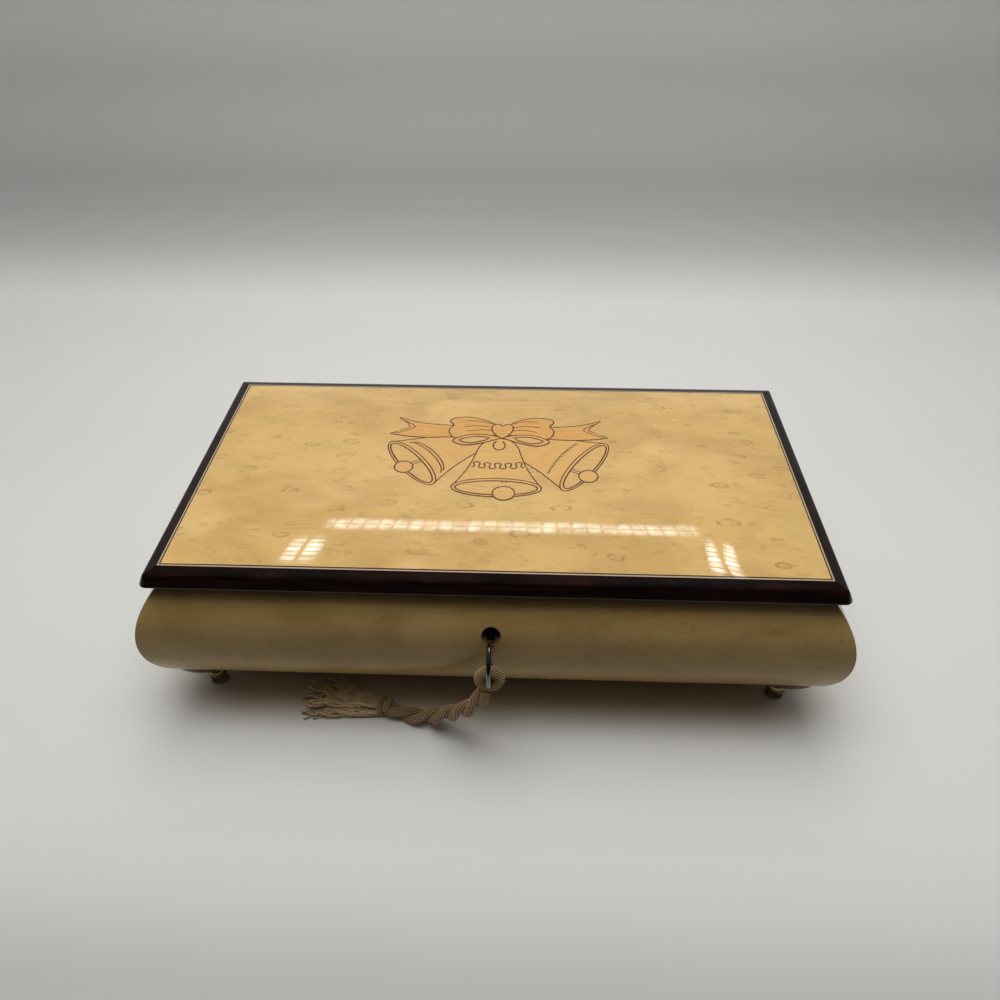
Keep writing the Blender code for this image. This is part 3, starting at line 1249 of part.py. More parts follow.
def make_governor(case, arbor_pivot, worm_pivot, plunger, finish):
    """The governor: its frame, the pinion and worm wheel, the worm with its fan, and the stop plunger."""
    low = BED_TOP + SEAT_GAP
    plate_high = FAN_Z - END_PLAY
    plate_back = WORM_Y - WORM_RADIUS - END_PLAY
    arm_top = FRAME_ARM_Z + PLATE
    step = PLATE / 12
    reach = FRAME_REACH
    bm = box_mesh((FRAME_X, BED_Y - reach, low), (FRAME_X + PLATE, plate_back, plate_high))
    frame = new_object("governor_frame", bm, finish["brass"], case)
    riser = box_mesh(
        (FRAME_X + step, BED_Y - reach * 0.8, plate_high - PLATE),
        (FRAME_X + PLATE - step, BED_Y + reach, arm_top),
    )
    arm = box_mesh(
        (FRAME_X + 2 * step, BED_Y - reach * 0.6, FRAME_ARM_Z),
        (WORM_X + FRAME_ARM_HALF, BED_Y + reach * 1.2, arm_top - step),
    )
    finger = box_mesh(
        (WORM_X - FRAME_ARM_HALF, BED_Y + reach * 0.8, FRAME_ARM_Z + step),
        (WORM_X + FRAME_ARM_HALF - step, PLUNGER_Y + 3 * PLUNGER_RADIUS, arm_top - 2 * step),
    )
    flange = box_mesh(
        (FRAME_X - step, BED_Y - reach * 0.9, low + step),
        (FRAME_X + FRAME_FOOT, BED_Y + reach * 0.8, low + PLATE),
    )
    join(
        frame,
        new_object("guide_frame_riser", riser, None, case),
        new_object("guide_frame_arm", arm, None, case),
        new_object("guide_frame_finger", finger, None, case),
        new_object("guide_frame_flange", flange, None, case),
    )
    holes = (
        ("cut_frame_cylinder", ARBOR_RADIUS + RUN_GAP, "X", (FRAME_X, BED_Y, CYLINDER_Z)),
        ("cut_frame_governor", ARBOR_RADIUS + RUN_GAP, "X", (FRAME_X, GOVERNOR_Y, GOVERNOR_Z)),
        ("cut_frame_worm", WORM_SHAFT + RUN_GAP, "Z", (WORM_X, WORM_Y, FRAME_ARM_Z)),
        ("cut_frame_plunger", PLUNGER_RADIUS + RUN_GAP, "Z", (WORM_X, PLUNGER_Y, FRAME_ARM_Z)),
    )
    for name, radius, axis, place in holes:
        hole = rod_mesh(radius, -CUT_OVERRUN, PLATE + CUT_OVERRUN, axis, 16)
        cut(frame, new_object(name, hole, None, case, place))

    bm = rod_mesh(ARBOR_RADIUS, GEAR_X - 2 * SEAT_GAP - WHEEL_X, GEAR_WIDTH + END_PLAY, "X", 16)
    arbor = new_object("governor_arbor", bm, finish["steel"], arbor_pivot, smooth=40)
    towards = math.atan2(GOVERNOR_Y - BED_Y, GOVERNOR_DROP)
    mesh_phase = meshing_phase(towards, CYLINDER_GEAR_TEETH, GOVERNOR_PINION_TEETH)
    tooth = TOOTH_HEIGHT * 0.8
    outline = gear_outline(GOVERNOR_PINION_TEETH, GOVERNOR_PINION_RADIUS, tooth, 0.34, mesh_phase)
    pinion = prism_mesh(outline, GEAR_X - WHEEL_X, GEAR_X - WHEEL_X + GEAR_WIDTH, "X")
    join(arbor, new_object("guide_governor_pinion", pinion, None, arbor_pivot))
    lead = WORM_STARTS * math.pi * GEAR_MODULE
    slant = math.tan(math.atan2(lead, 2 * math.pi * WORM_RADIUS)) * GEAR_WIDTH / WHEEL_RADIUS
    wheel_phase = math.pi / 2 - math.pi / WORM_WHEEL_TEETH - slant / 2
    outline = gear_outline(WORM_WHEEL_TEETH, WHEEL_RADIUS, tooth, 0.34, wheel_phase)
    bm = prism_mesh(outline, 0, GEAR_WIDTH, "X", slant)
    wheel = new_object("governor_wheel", bm, finish["brass"], arbor_pivot)
    bore = rod_mesh(ARBOR_RADIUS + SEAT_GAP, -CUT_OVERRUN, GEAR_WIDTH + CUT_OVERRUN, "X", 16)
    cut(wheel, new_object("cut_wheel_bore", bore, None, arbor_pivot))

    new_object("governor_worm", worm_mesh(lead), finish["steel"], worm_pivot, smooth=40)

    fan_low = FAN_Z - GOVERNOR_Z
    fan_high = fan_low + FAN_HEIGHT
    blade = [(sx * FAN_RADIUS, sy * FAN_BLADE / 2) for sx, sy in CORNERS]
    fan = new_object("governor_fan", prism_mesh(blade, fan_low, fan_high), finish["brass"], worm_pivot)
    hub = rod_mesh(FAN_HUB, fan_low - SEAT_GAP, fan_high + SEAT_GAP, "Z", 16)
    join(fan, new_object("guide_fan_hub", hub, None, worm_pivot))
    bore = rod_mesh(WORM_SHAFT + SEAT_GAP, fan_low - CUT_OVERRUN, fan_high + CUT_OVERRUN, "Z", 12)
    cut(fan, new_object("cut_fan_bore", bore, None, worm_pivot))

    rod_top = LID_UNDER - SEAT_GAP - LID_LINING_THICKNESS - SEAT_GAP
    drop = (0, 0, -FAN_Z)
    bm = rod_mesh(PLUNGER_RADIUS, FAN_Z, rod_top, "Z", 14)
    rod = new_object("stop_plunger", bm, finish["steel"], plunger, drop, smooth=40)
    shoe = box_mesh(
        (-2 * PLUNGER_RADIUS, -2 * PLUNGER_RADIUS, FAN_Z - PLUNGER_RADIUS / 2),
        (2 * PLUNGER_RADIUS, 1.5 * PLUNGER_RADIUS, FAN_Z + FAN_HEIGHT * 0.375),
    )
    soften(shoe, PLUNGER_RADIUS * 0.375)
    join(rod, new_object("guide_stop_shoe", shoe, None, plunger, drop))


def worm_mesh(lead):
    """A shaft whose middle carries a thread: the radius rises and falls with angle and height."""
    sides = 12
    low = BED_TOP - WORM_STEP_DEPTH + SEAT_GAP - GOVERNOR_Z
    high = FRAME_ARM_Z + PLATE + 2 * RUN_GAP - GOVERNOR_Z
    rows_per_pitch = 5
    pitch = lead / WORM_STARTS
    rows = int(WORM_LENGTH / pitch * rows_per_pitch)
    root = WORM_RADIUS - THREAD_DEPTH * 0.6
    crest = WORM_RADIUS + THREAD_DEPTH * 0.4
    half = WORM_LENGTH / 2
    shoulder = half + 2 * RUN_GAP

    def radius_at(angle, height):
        phase = (height / pitch - WORM_STARTS * angle / (2 * math.pi)) % 1.0
        from_crest = abs(phase - 0.5) * 2
        t = min(max((from_crest - 0.22) / 0.30, 0.0), 1.0)
        return crest + (root - crest) * t

    bm = bmesh.new()
    rings = []

    def add_ring(height, radii):
        ring = []
        for k, radius in enumerate(radii):
            a = 2 * math.pi * k / sides
            ring.append(bm.verts.new((radius * math.cos(a), radius * math.sin(a), height)))
        rings.append(ring)

    for height, radius in ((low, WORM_SHAFT), (-shoulder, WORM_SHAFT), (-shoulder, root)):
        add_ring(height, [radius] * sides)
    for row in range(rows + 1):
        height = -half + WORM_LENGTH * row / rows
        add_ring(height, [radius_at(2 * math.pi * k / sides, height) for k in range(sides)])
    for height, radius in ((shoulder, root), (shoulder, WORM_SHAFT), (high, WORM_SHAFT)):
        add_ring(height, [radius] * sides)
    bm.faces.new(rings[0])
    bm.faces.new(rings[-1])
    for lower, upper in zip(rings, rings[1:]):
        bridge_rings(bm, lower, upper)
    return bm


def make_winding(pivot, finish):
    """The winding shaft up through the base and the barrel, and the butterfly key under the base."""
    key_low = TABLE_CLEARANCE
    shaft_low = key_low + WINDING_SHAFT_RISE
    shaft = rod_mesh(WINDING_RADIUS, shaft_low, BRIDGE_TOP + END_PLAY)
    new_object("winding_shaft", shaft, finish["steel"], pivot, smooth=40)
    half_wing = WINDING_WING / 2
    hub_low = key_low + half_wing
    hub_high = key_low + WINDING_KEY_HEIGHT + WINDING_WING
    end_radius = WINDING_HUB_RADIUS * 0.9
    profile = [(0, hub_low), (end_radius, hub_low), (WINDING_HUB_RADIUS, hub_high), (0, hub_high)]
    key = new_object("winding_key", turned_mesh(profile, 20), finish["brass"], pivot, smooth=40)
    half = WINDING_KEY_WIDTH / 2
    rise = WINDING_KEY_HEIGHT / 2
    for label, side in (("left", -1), ("right", 1)):
        outline = []
        for k in range(12):
            a = math.pi * 2 * k / 12
            out = half * (0.55 + 0.45 * math.cos(a))
            outline.append((side * out, key_low + rise * (1 + math.sin(a))))
        wing = plate_mesh(outline, -half_wing, half_wing)
        join(key, new_object(f"guide_wing_{label}", wing, None, pivot))
    bore = rod_mesh(WINDING_RADIUS + SEAT_GAP, shaft_low - SEAT_GAP, hub_high + CUT_OVERRUN)
    cut(key, new_object("cut_winding_key_bore", bore, None, pivot))


def main():
    for old in list(bpy.data.objects):
        bpy.data.objects.remove(old, do_unlink=True)
    finish = make_palette()
    case = empty("case_centre", (0, FRAME_SHIFT, 0))
    lid = empty("lid_axis", (0, HINGE_Y, HINGE_Z), case)
    slider = empty("key_slide", (0, 0, KEY_HEIGHT), case)
    key = empty("key_axis", (0, 0, 0), slider)
    barrel = empty("barrel_axis", (BARREL_X, BED_Y, CROWN_Z), case)
    winding = empty("winding_axis", (BARREL_X, BED_Y, 0), case)
    cylinder = empty("cylinder_axis", (CYLINDER_X0, BED_Y, CYLINDER_Z), case)
    governor = empty("governor_axis", (WHEEL_X, GOVERNOR_Y, GOVERNOR_Z), case)
    worm = empty("worm_axis", (WORM_X, WORM_Y, GOVERNOR_Z), case)
    plunger = empty("plunger_axis", (WORM_X, PLUNGER_Y, FAN_Z), case)

    rails = make_carcass(case, finish)
    make_base(case, finish, BARREL_X, BED_Y)
    make_feet(case, finish)
    mouldings, panel = make_lid(lid, finish)
    make_hinges(case, lid, finish, rails, mouldings, panel)
    make_lock(case, lid, finish, rails, panel)
    make_bolt(case, finish)
    make_key(key, finish)
    make_tassel(slider, key, finish)
    make_interior(case, finish)
    make_cover(case, finish)
    make_bed(case, finish)
    make_comb(case, finish)
    make_barrel(barrel, case, finish)
    make_cylinder(cylinder, finish)
    make_governor(case, governor, worm, plunger, finish)
    make_winding(winding, finish)


main()
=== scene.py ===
# The looks of the musical jewelry box: veneers, lacquer, marquetry, velvet, metals and the cotton tassel.
# Units are metres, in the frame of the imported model. The front faces -Y and the table is at z = 0.

import math
import random

import bmesh
import bpy
from mathutils import Matrix, Vector, noise


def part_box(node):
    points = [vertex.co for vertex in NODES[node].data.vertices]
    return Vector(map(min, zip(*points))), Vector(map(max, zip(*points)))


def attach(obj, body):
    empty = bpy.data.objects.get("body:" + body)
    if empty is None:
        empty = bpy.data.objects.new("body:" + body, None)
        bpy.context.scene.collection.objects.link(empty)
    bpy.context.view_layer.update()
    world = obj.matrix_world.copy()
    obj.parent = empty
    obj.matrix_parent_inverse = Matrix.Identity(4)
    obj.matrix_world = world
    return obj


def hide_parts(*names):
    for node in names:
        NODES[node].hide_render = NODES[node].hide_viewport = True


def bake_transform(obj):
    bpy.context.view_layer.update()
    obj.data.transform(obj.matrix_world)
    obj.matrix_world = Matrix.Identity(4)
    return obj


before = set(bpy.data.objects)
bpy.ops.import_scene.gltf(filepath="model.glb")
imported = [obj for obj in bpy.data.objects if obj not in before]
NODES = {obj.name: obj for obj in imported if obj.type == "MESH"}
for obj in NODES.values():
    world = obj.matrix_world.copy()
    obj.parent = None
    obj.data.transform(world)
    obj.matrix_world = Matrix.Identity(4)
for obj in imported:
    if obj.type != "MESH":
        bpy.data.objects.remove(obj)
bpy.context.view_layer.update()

# Places read from the frame
CENTRE_Y = (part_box("carcass_front")[0].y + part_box("carcass_back")[1].y) / 2
HALF_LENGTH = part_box("carcass_right")[1].x
HALF_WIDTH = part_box("carcass_back")[1].y - CENTRE_Y
FOOT_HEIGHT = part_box("carcass_front")[0].z
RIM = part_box("carcass_front")[1].z
LID_HALF_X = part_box("lid_moulding_right")[1].x
LID_HALF_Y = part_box("lid_moulding_back")[1].y - CENTRE_Y
LID_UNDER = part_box("lid_moulding_front")[0].z
LID_EDGE_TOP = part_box("lid_moulding_front")[1].z
BOARD_HALF_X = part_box("lid_panel")[1].x
BOARD_HALF_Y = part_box("lid_panel")[1].y - CENTRE_Y

# Sizes shared with the CAD source
BULGE_RADIUS = 0.039
BULGE_HEIGHT = 0.0467
FOOT_OUTSET = 0.0022
CROWN = 0.0046
CROWN_MARGIN = 0.058
CROWN_POWER = 2.4
MOULDING_WIDTH = 0.0075
GLUE_LINE = 0.0001
SEAT_GAP = 0.0003
KEY_HEIGHT = 0.0585
KEYHOLE_RADIUS = 0.0042
KEY_RING_RADIUS = 0.0089
KEY_WIRE_RADIUS = 0.0011
KEY_SHANK_RADIUS = 0.0017
ROPE_DIAMETER = 0.0077
ROPE_ROUTE = (
    (-0.0017, -0.1023, 0.0424),
    (-0.0045, -0.1034, 0.0365),
    (-0.0100, -0.1021, 0.0280),
    (-0.0193, -0.0962, 0.0158),
    (-0.0292, -0.0915, 0.0073),
    (-0.0386, -0.0889, 0.0041),
    (-0.0446, -0.0872, 0.0041),
    (-0.0502, -0.0847, 0.0041),
)
FRINGE_LENGTH = 0.044
FRINGE_END_WIDTH = 0.0205
FRINGE_HEADING = math.radians(168)

# The scene's own sizes: thicknesses, line widths, and the rope's strands and yarns
VENEER = 0.00005
STRINGING = 0.00042
INLAY_LINE = 0.00062
ROPE_PITCH = 0.0270
PLY_RADIUS = ROPE_DIAMETER * 0.274
PLY_OFFSET = ROPE_DIAMETER * 0.240
YARN_RIDGES = 8
FRINGE_YARNS = 76

# Camera, solved from the photograph
CAMERA_PLACE = (0.0139, -0.31876, 0.3344)
CAMERA_YAW = 0.0397
CAMERA_PITCH = 0.6836
CAMERA_ROLL = -0.0043
CAMERA_LENS = 30.078


# Materials


class Graph:
    """A node tree, with short calls that add nodes to it."""

    def __init__(self, tree):
        self.tree = tree

    def link(self, socket, target):
        self.tree.links.new(socket, target)

    def add(self, kind, inputs=None, **settings):
        """A node with its settings, its inputs linked from sockets or set to values."""
        node = self.tree.nodes.new(kind)
        for key, value in settings.items():
            setattr(node, key, value)
        for key, value in (inputs or {}).items():
            if isinstance(value, bpy.types.NodeSocket):
                self.link(value, node.inputs[key])
            else:
                node.inputs[key].default_value = value
        return node

    def math(self, operation, a, b=0.0, c=0.0):
        return self.add("ShaderNodeMath", {0: a, 1: b, 2: c}, operation=operation).outputs[0]

    def times(self, a, b):
        return self.math("MULTIPLY", a, b)

    def away(self, value, middle=0.0):
        """How far a value is from a middle, either way."""
        return self.math("ABSOLUTE", self.math("SUBTRACT", value, middle))

    def split(self, vector):
        return list(self.add("ShaderNodeSeparateXYZ", {0: vector}).outputs)

    def joined(self, x, y, z=0.0):
        return self.add("ShaderNodeCombineXYZ", {0: x, 1: y, 2: z}).outputs[0]

    def scaled(self, vector, scale):
        return self.add("ShaderNodeMapping", {"Vector": vector, "Scale": scale}).outputs[0]

    def noise(self, vector, scale, detail=3.0, roughness=0.5, distortion=0.0):
        inputs = {"Vector": vector, "Scale": scale, "Detail": detail}
        inputs.update({"Roughness": roughness, "Distortion": distortion})
        return self.add("ShaderNodeTexNoise", inputs).outputs["Fac"]

    def stretched_noise(self, vector, scale, detail=3.0, roughness=0.6, distortion=0.0):
        """Noise whose cells have a size of their own along each axis."""
        return self.noise(self.scaled(vector, scale), 1.0, detail, roughness, distortion)

    def ramp(self, value, *stops, interpolation="LINEAR"):
        """A colour ramp over (position, colour) stops."""
        node = self.add("ShaderNodeValToRGB", {0: value})
        node.color_ramp.interpolation = interpolation
        elements = node.color_ramp.elements
        while len(elements) < len(stops):
            elements.new(0.5)
        for element, (position, color) in zip(elements, stops):
            element.position = position
            element.color = (*color, 1.0)
        return node.outputs[0]

    def band(self, value, low, high):
        """0 below low, 1 above high, and smooth between them."""
        inputs = {"Value": value, "From Min": low, "From Max": high}
        return self.add("ShaderNodeMapRange", inputs, interpolation_type="SMOOTHSTEP").outputs[0]

    def mix(self, factor, a, b):
        """Colour a, turned into colour b by a factor."""
        a, b = ((*c, 1.0) if isinstance(c, tuple) else c for c in (a, b))
        return self.add("ShaderNodeMix", {0: factor, 6: a, 7: b}, data_type="RGBA").outputs[2]

    def stain(self, color, other, value, low, high, most=1.0):
        """A colour turned into another, by most where value goes from low to high."""
        return self.mix(self.times(self.band(value, low, high), most), color, other)


class Finish(Graph):
    """A Principled material. Its patterns lie in the object's own place."""

    def __init__(self, name, roughness, metallic=0.0, **sockets):
        self.material = bpy.data.materials.new(name)
        self.material.use_nodes = True
        super().__init__(self.material.node_tree)
        self.shader = self.tree.nodes["Principled BSDF"]
        for socket, value in {"Roughness": roughness, "Metallic": metallic, **sockets}.items():
            self.shader.inputs[socket.replace("_", " ")].default_value = value
        self.place = self.add("ShaderNodeTexCoord").outputs["Object"]

    def color(self, socket):
        self.link(socket, self.shader.inputs["Base Color"])

    def rough(self, value, share, base):
        """Roughness of base and a share of value."""
        self.link(self.math("MULTIPLY_ADD", value, share, base), self.shader.inputs["Roughness"])

    def bump(self, height, distance, strength=1.0):
        """Bump whose full range of height stands distance high."""
        inputs = {"Height": height, "Distance": distance, "Strength": strength}
        self.link(self.add("ShaderNodeBump", inputs).outputs[0], self.shader.inputs["Normal"])


def dyed(color, *factors):
    """A colour times one factor, or times one for each channel."""
    return tuple(v * s for v, s in zip(color, factors if len(factors) > 1 else factors * 3))


def veneer_color(finish, along, across, light, dark, rarity=0.46, ringed=0.85):
    """Bird's eye wood: faint clouds, fine grain along the board, and small broken eyes and dimples."""
    flat = finish.joined(along, across)
    clouds = finish.stretched_noise(flat, (16.0, 34.0, 1.0), 5.0, distortion=0.8)
    cloudy = tuple(p + (q - p) * 0.58 for p, q in zip(light, dark))
    color = finish.stain(cloudy, light, clouds, 0.34, 0.62)
    warm = finish.stretched_noise(flat, (9.0, 17.0, 1.0))
    color = finish.stain(color, dyed(light, 0.86, 0.92, 0.82), warm, 0.53, 0.74)
    color = finish.stain(color, dyed(light, 1.09, 1.13, 1.30), warm, 0.48, 0.34, 0.8)
    grain = finish.stretched_noise(flat, (60.0, 1500.0, 1.0))
    fleck = finish.stretched_noise(flat, (380.0, 1500.0, 1.0), roughness=0.65)
    color = finish.stain(color, dark, grain, 0.45, 0.75, 0.16)
    color = finish.stain(color, dark, fleck, 0.54, 0.70, 0.24)
    color = finish.stain(color, dyed(light, 1.10), fleck, 0.46, 0.34, 0.30)
    shown = eyes(finish, flat, (46.0, 104.0), rarity, 0.0, ringed)
    for density, rarer, seed, share in (((84.0, 150.0), 0.06, 3.7, 0.6), ((50.0, 300.0), 0.14, 8.1, 0.5)):
        more = eyes(finish, flat, density, rarity + rarer, seed, ringed * share)
        shown = finish.math("MAXIMUM", shown, more)
    return finish.mix(shown, color, dyed(dark, 0.56, 0.48, 0.38)), grain


def eyes(finish, flat, density, rarity, seed, ringed):
    """How dark the wood is from its eyes: warped, flattened cells with a broken rim and a soft core."""
    moved = finish.add("ShaderNodeVectorMath", {0: flat, 1: (seed, seed, seed)}, operation="ADD").outputs[0]
    x, y, _ = finish.split(moved)
    bend_x = finish.noise(moved, 240.0, 3.0, 0.6)
    bend_y = finish.noise(finish.scaled(moved, (1.0, -1.0, 1.0)), 280.0, 3.0, 0.6)
    x = finish.math("MULTIPLY_ADD", bend_x, 0.0046, x)
    y = finish.math("MULTIPLY_ADD", bend_y, 0.0030, y)
    cells = finish.scaled(finish.joined(x, y), (*density, 1.0))
    found = finish.add("ShaderNodeTexVoronoi", {"Vector": cells, "Scale": 1.0}, voronoi_dimensions="2D")
    chance, size, weight = finish.split(found.outputs["Color"])
    radius = finish.math("MULTIPLY_ADD", size, 0.12, 0.085)
    inside = finish.math("DIVIDE", found.outputs["Distance"], radius)
    rim = finish.math("SUBTRACT", 1.0, finish.band(finish.away(inside, 1.0), 0.07, 0.46))
    core = finish.math("SUBTRACT", 1.0, finish.band(inside, 0.08, 0.80))
    broken = finish.band(finish.noise(moved, 210.0, 3.0, 0.6), 0.40, 0.55)
    rim = finish.times(finish.times(rim, broken), ringed)
    dot = finish.times(core, finish.math("MULTIPLY_ADD", size, -0.75, 0.85))
    clusters = finish.times(finish.noise(moved, 26.0, 2.0), 0.9)
    present = finish.band(finish.math("ADD", chance, clusters), rarity + 0.42, rarity + 0.50)
    strength = finish.math("MULTIPLY_ADD", weight, 0.44, 0.27)
    return finish.times(finish.times(finish.math("MAXIMUM", rim, dot), present), strength)


def veneer(name, light, dark, side="top", painted_shade=0.0):
    """Lacquered bird's eye veneer that faces a side, with painted shade round the middle of the bulge, under
    the rim and in the keyhole.
    """
    finish = Finish(name, 0.42, Coat_Weight=1.0, Coat_Roughness=0.05, Coat_IOR=1.20, Specular_IOR_Level=0.15)
    x, y, z = finish.split(finish.place)
    along, across = {"top": (x, y), "front": (x, z), "side": (y, z), "end_top": (y, x)}[side]
    color, grain = veneer_color(finish, along, across, light, dark, 0.48, 0.35)
    # Painted shade, as strong as the last argument: a darker band round the middle of the bulge, and a
    # near-black band just under the rim where the lid's shadow falls.
    if painted_shade:
        waist_shade = finish.math("SUBTRACT", finish.band(z, 0.064, 0.052), finish.band(z, 0.046, 0.034))
        color = finish.mix(finish.times(waist_shade, painted_shade * 0.42), color, dyed(dark, 0.25))
        color = finish.stain(color, dyed(dark, 0.20), z, RIM - 0.0082, RIM - 0.0035, painted_shade)
    # Painted shade in the keyhole: its bore and a thin ring round its edge turn dark brown.
    squares = [finish.math("POWER", off, 2.0) for off in (x, finish.away(z, KEY_HEIGHT))]
    painted_hole_shade = finish.math("LESS_THAN", finish.math("ADD", *squares), (KEYHOLE_RADIUS + 0.0003) ** 2)
    finish.color(finish.mix(painted_hole_shade, color, (0.190, 0.115, 0.062)))
    finish.bump(grain, 0.000004, 0.25)
    return finish


def lid_veneer_finish(light, dark):
    """The lid's veneer, with a pale line and a dark line of stringing set in just inside its edge."""
    finish = Finish("lid_veneer", 0.40, Coat_Weight=1.0, Coat_Roughness=0.018, Coat_IOR=1.55)
    x, y, _ = finish.split(finish.place)
    color, _ = veneer_color(finish, x, y, light, dark)
    inset_x = finish.math("SUBTRACT", BOARD_HALF_X, finish.away(x))
    inset_y = finish.math("SUBTRACT", BOARD_HALF_Y, finish.away(y, CENTRE_Y))
    lines = finish.math("DIVIDE", finish.math("MINIMUM", inset_x, inset_y), 4 * STRINGING)
    holly, ebony = (0.56, 0.40, 0.27), (0.016, 0.005, 0.003)
    stripes = finish.ramp(lines, (0.0, holly), (0.36, ebony), interpolation="CONSTANT")
    finish.color(finish.mix(finish.math("LESS_THAN", lines, 0.76), color, stripes))
    finish.bump(finish.noise(finish.place, 240.0, 2.0), 0.000010, 0.35)
    return finish


def lacquer(name, base, glow):
    """Dark lacquered moulding: reddish wood barely showing through black."""
    finish = Finish(name, 0.34, Coat_Weight=1.0, Coat_Roughness=0.06, Coat_IOR=1.30, Specular_IOR_Level=0.15)
    grain = finish.stretched_noise(finish.place, (40.0, 40.0, 700.0), 4.0)
    cross = finish.stretched_noise(finish.place, (900.0, 900.0, 60.0))
    color = finish.stain(base, glow, grain, 0.40, 0.70)
    finish.color(finish.mix(finish.times(cross, 0.35), color, base))
    finish.rough(cross, 0.10, 0.28)
    finish.bump(finish.noise(finish.place, 300.0, 2.0), 0.000012, 0.3)
    return finish


def inlay_wood(name, color, turn):
    """One marquetry wood, its grain turned by an angle, under the same gloss as the lid."""
    finish = Finish(name, 0.42, Coat_Weight=1.0, Coat_Roughness=0.02, Coat_IOR=1.55)
    mapping = {"Vector": finish.place, "Rotation": (0.0, 0.0, turn)}
    turned_place = finish.add("ShaderNodeMapping", mapping).outputs[0]
    grain = finish.stretched_noise(turned_place, (90.0, 1100.0, 1.0), 4.0)
    cloud = finish.stretched_noise(turned_place, (50.0, 120.0, 1.0), 2.0, 0.5)
    low = dyed(color, 0.86)
    shade = finish.stain(dyed(color, 1.05), low, grain, 0.34, 0.70)
    finish.color(finish.stain(shade, low, cloud, 0.45, 0.72, 0.35))
    return finish


def plywood():
    """Birch plywood, sealed, with long grain on its faces."""
    finish = Finish("plywood", 0.55)
    grain = finish.stretched_noise(finish.place, (22.0, 520.0, 90.0), 5.0, 0.62, 0.3)
    stops = (0.32, (0.36, 0.235, 0.125)), (0.55, (0.50, 0.345, 0.19)), (0.75, (0.60, 0.43, 0.26))
    pores = finish.stretched_noise(finish.place, (300.0, 2600.0, 2600.0), 2.0, 0.5)
    finish.color(finish.stain(finish.ramp(grain, *stops), (0.20, 0.12, 0.06), pores, 0.60, 0.72, 0.5))
    finish.bump(pores, 0.00003, 0.4)
    return finish


def velvet():
    """Burgundy rayon velvet: a lying pile that brightens at the edges, brushed in soft patches."""
    pink = (1.0, 0.42, 0.44, 1.0)
    finish = Finish("velvet", 0.85, Sheen_Weight=0.8, Sheen_Roughness=0.38, Sheen_Tint=pink)
    brushed = finish.noise(finish.place, 55.0, 3.0, 0.5, 0.8)
    pile = finish.noise(finish.place, 3800.0, 2.0, 0.7)
    stops = (0.32, (0.150, 0.008, 0.014)), (0.58, (0.195, 0.012, 0.020)), (0.75, (0.230, 0.016, 0.025))
    finish.color(finish.mix(finish.times(pile, 0.45), finish.ramp(brushed, *stops), (0.07, 0.003, 0.006)))
    finish.bump(pile, 0.00016, 0.7)
    return finish


def metal(name, color, roughness, worn, grain_scale=(1.0, 1.0, 1.0), spots=None, spread=0.12):
    """A metal with rubbed and dull patches, fine tool marks along one way, and a tarnish where given."""
    finish = Finish(name, roughness, 1.0)
    patches = finish.noise(finish.place, 170.0, 4.0, 0.6)
    marks = finish.stretched_noise(finish.place, dyed(grain_scale, 2400.0))
    shade = finish.stain(color, worn, patches, 0.38, 0.66)
    if spots:
        speckle = finish.noise(finish.place, 620.0, 4.0, 0.7)
        shade = finish.stain(shade, spots, speckle, 0.55, 0.70, 0.6)
    finish.color(shade)
    finish.rough(marks, spread / 2, finish.math("MULTIPLY_ADD", patches, spread, roughness - spread / 2))
    finish.bump(marks, 0.000012, 0.5)
    return finish


def cast_zinc():
    """Die-cast zinc with a grainy skin."""
    finish = Finish("zinc", 0.46, 1.0)
    grain = finish.noise(finish.place, 900.0, 4.0, 0.7)
    flow = finish.noise(finish.place, 90.0, 3.0)
    finish.color(finish.ramp(flow, (0.3, (0.34, 0.35, 0.36)), (0.7, (0.52, 0.53, 0.55))))
    finish.rough(grain, 0.22, 0.34)
    finish.bump(grain, 0.00006, 0.6)
    return finish


def clear_acrylic():
    """Clear acrylic sheet with hairline scuffs."""
    finish = Finish("clear_acrylic", 0.02, IOR=1.49, Transmission_Weight=1.0)
    scuff = finish.stretched_noise(finish.place, (1400.0, 90.0, 600.0), 4.0, 0.7)
    finish.rough(finish.band(scuff, 0.58, 0.72), 0.10, 0.015)
    finish.color(finish.ramp(scuff, (0.0, (0.95, 0.98, 0.975)), (1.0, (0.985, 0.99, 0.99))))
    return finish


def cotton(name, deep, body, tip):
    """Unbleached spun cotton: fine fibres that run with the twist, with painted shade between the yarns."""
    finish = Finish(name, 0.92, Sheen_Weight=0.25, Sheen_Roughness=0.5)
    fibres = finish.noise(finish.place, 2600.0, 4.0, 0.75, 1.2)
    soil = finish.noise(finish.place, 120.0, 3.0)
    color = finish.ramp(fibres, (0.28, deep), (0.52, body), (0.74, tip))
    # Painted shade: where the mesh's stored shade value drops, in the valleys between yarns and on the lower
    # yarns of the fringe, the cotton turns dark.
    tone = finish.add("ShaderNodeAttribute", attribute_name="tone").outputs["Fac"]
    color = finish.stain(dyed(deep, 0.22), color, tone, 0.78, 0.97)
    finish.color(finish.stain(color, deep, soil, 0.48, 0.70, 0.45))
    finish.bump(fibres, 0.00022, 0.8)
    return finish


# Painted light and shade on the studio's sheet: its greys over how far back or up it is, following how
# brightly it is lit there
SHEET_PAINTED_LIGHT = (
    (-0.90, 0.62), (-0.40, 0.44), (-0.194, 0.500), (-0.161, 0.635), (-0.127, 0.695), (0.10, 0.725),
    (0.318, 0.743), (0.373, 0.775), (0.412, 0.70), (0.460, 0.55), (0.505, 0.494), (0.550, 0.480),
    (0.614, 0.650), (0.700, 0.83), (0.780, 0.72),
)


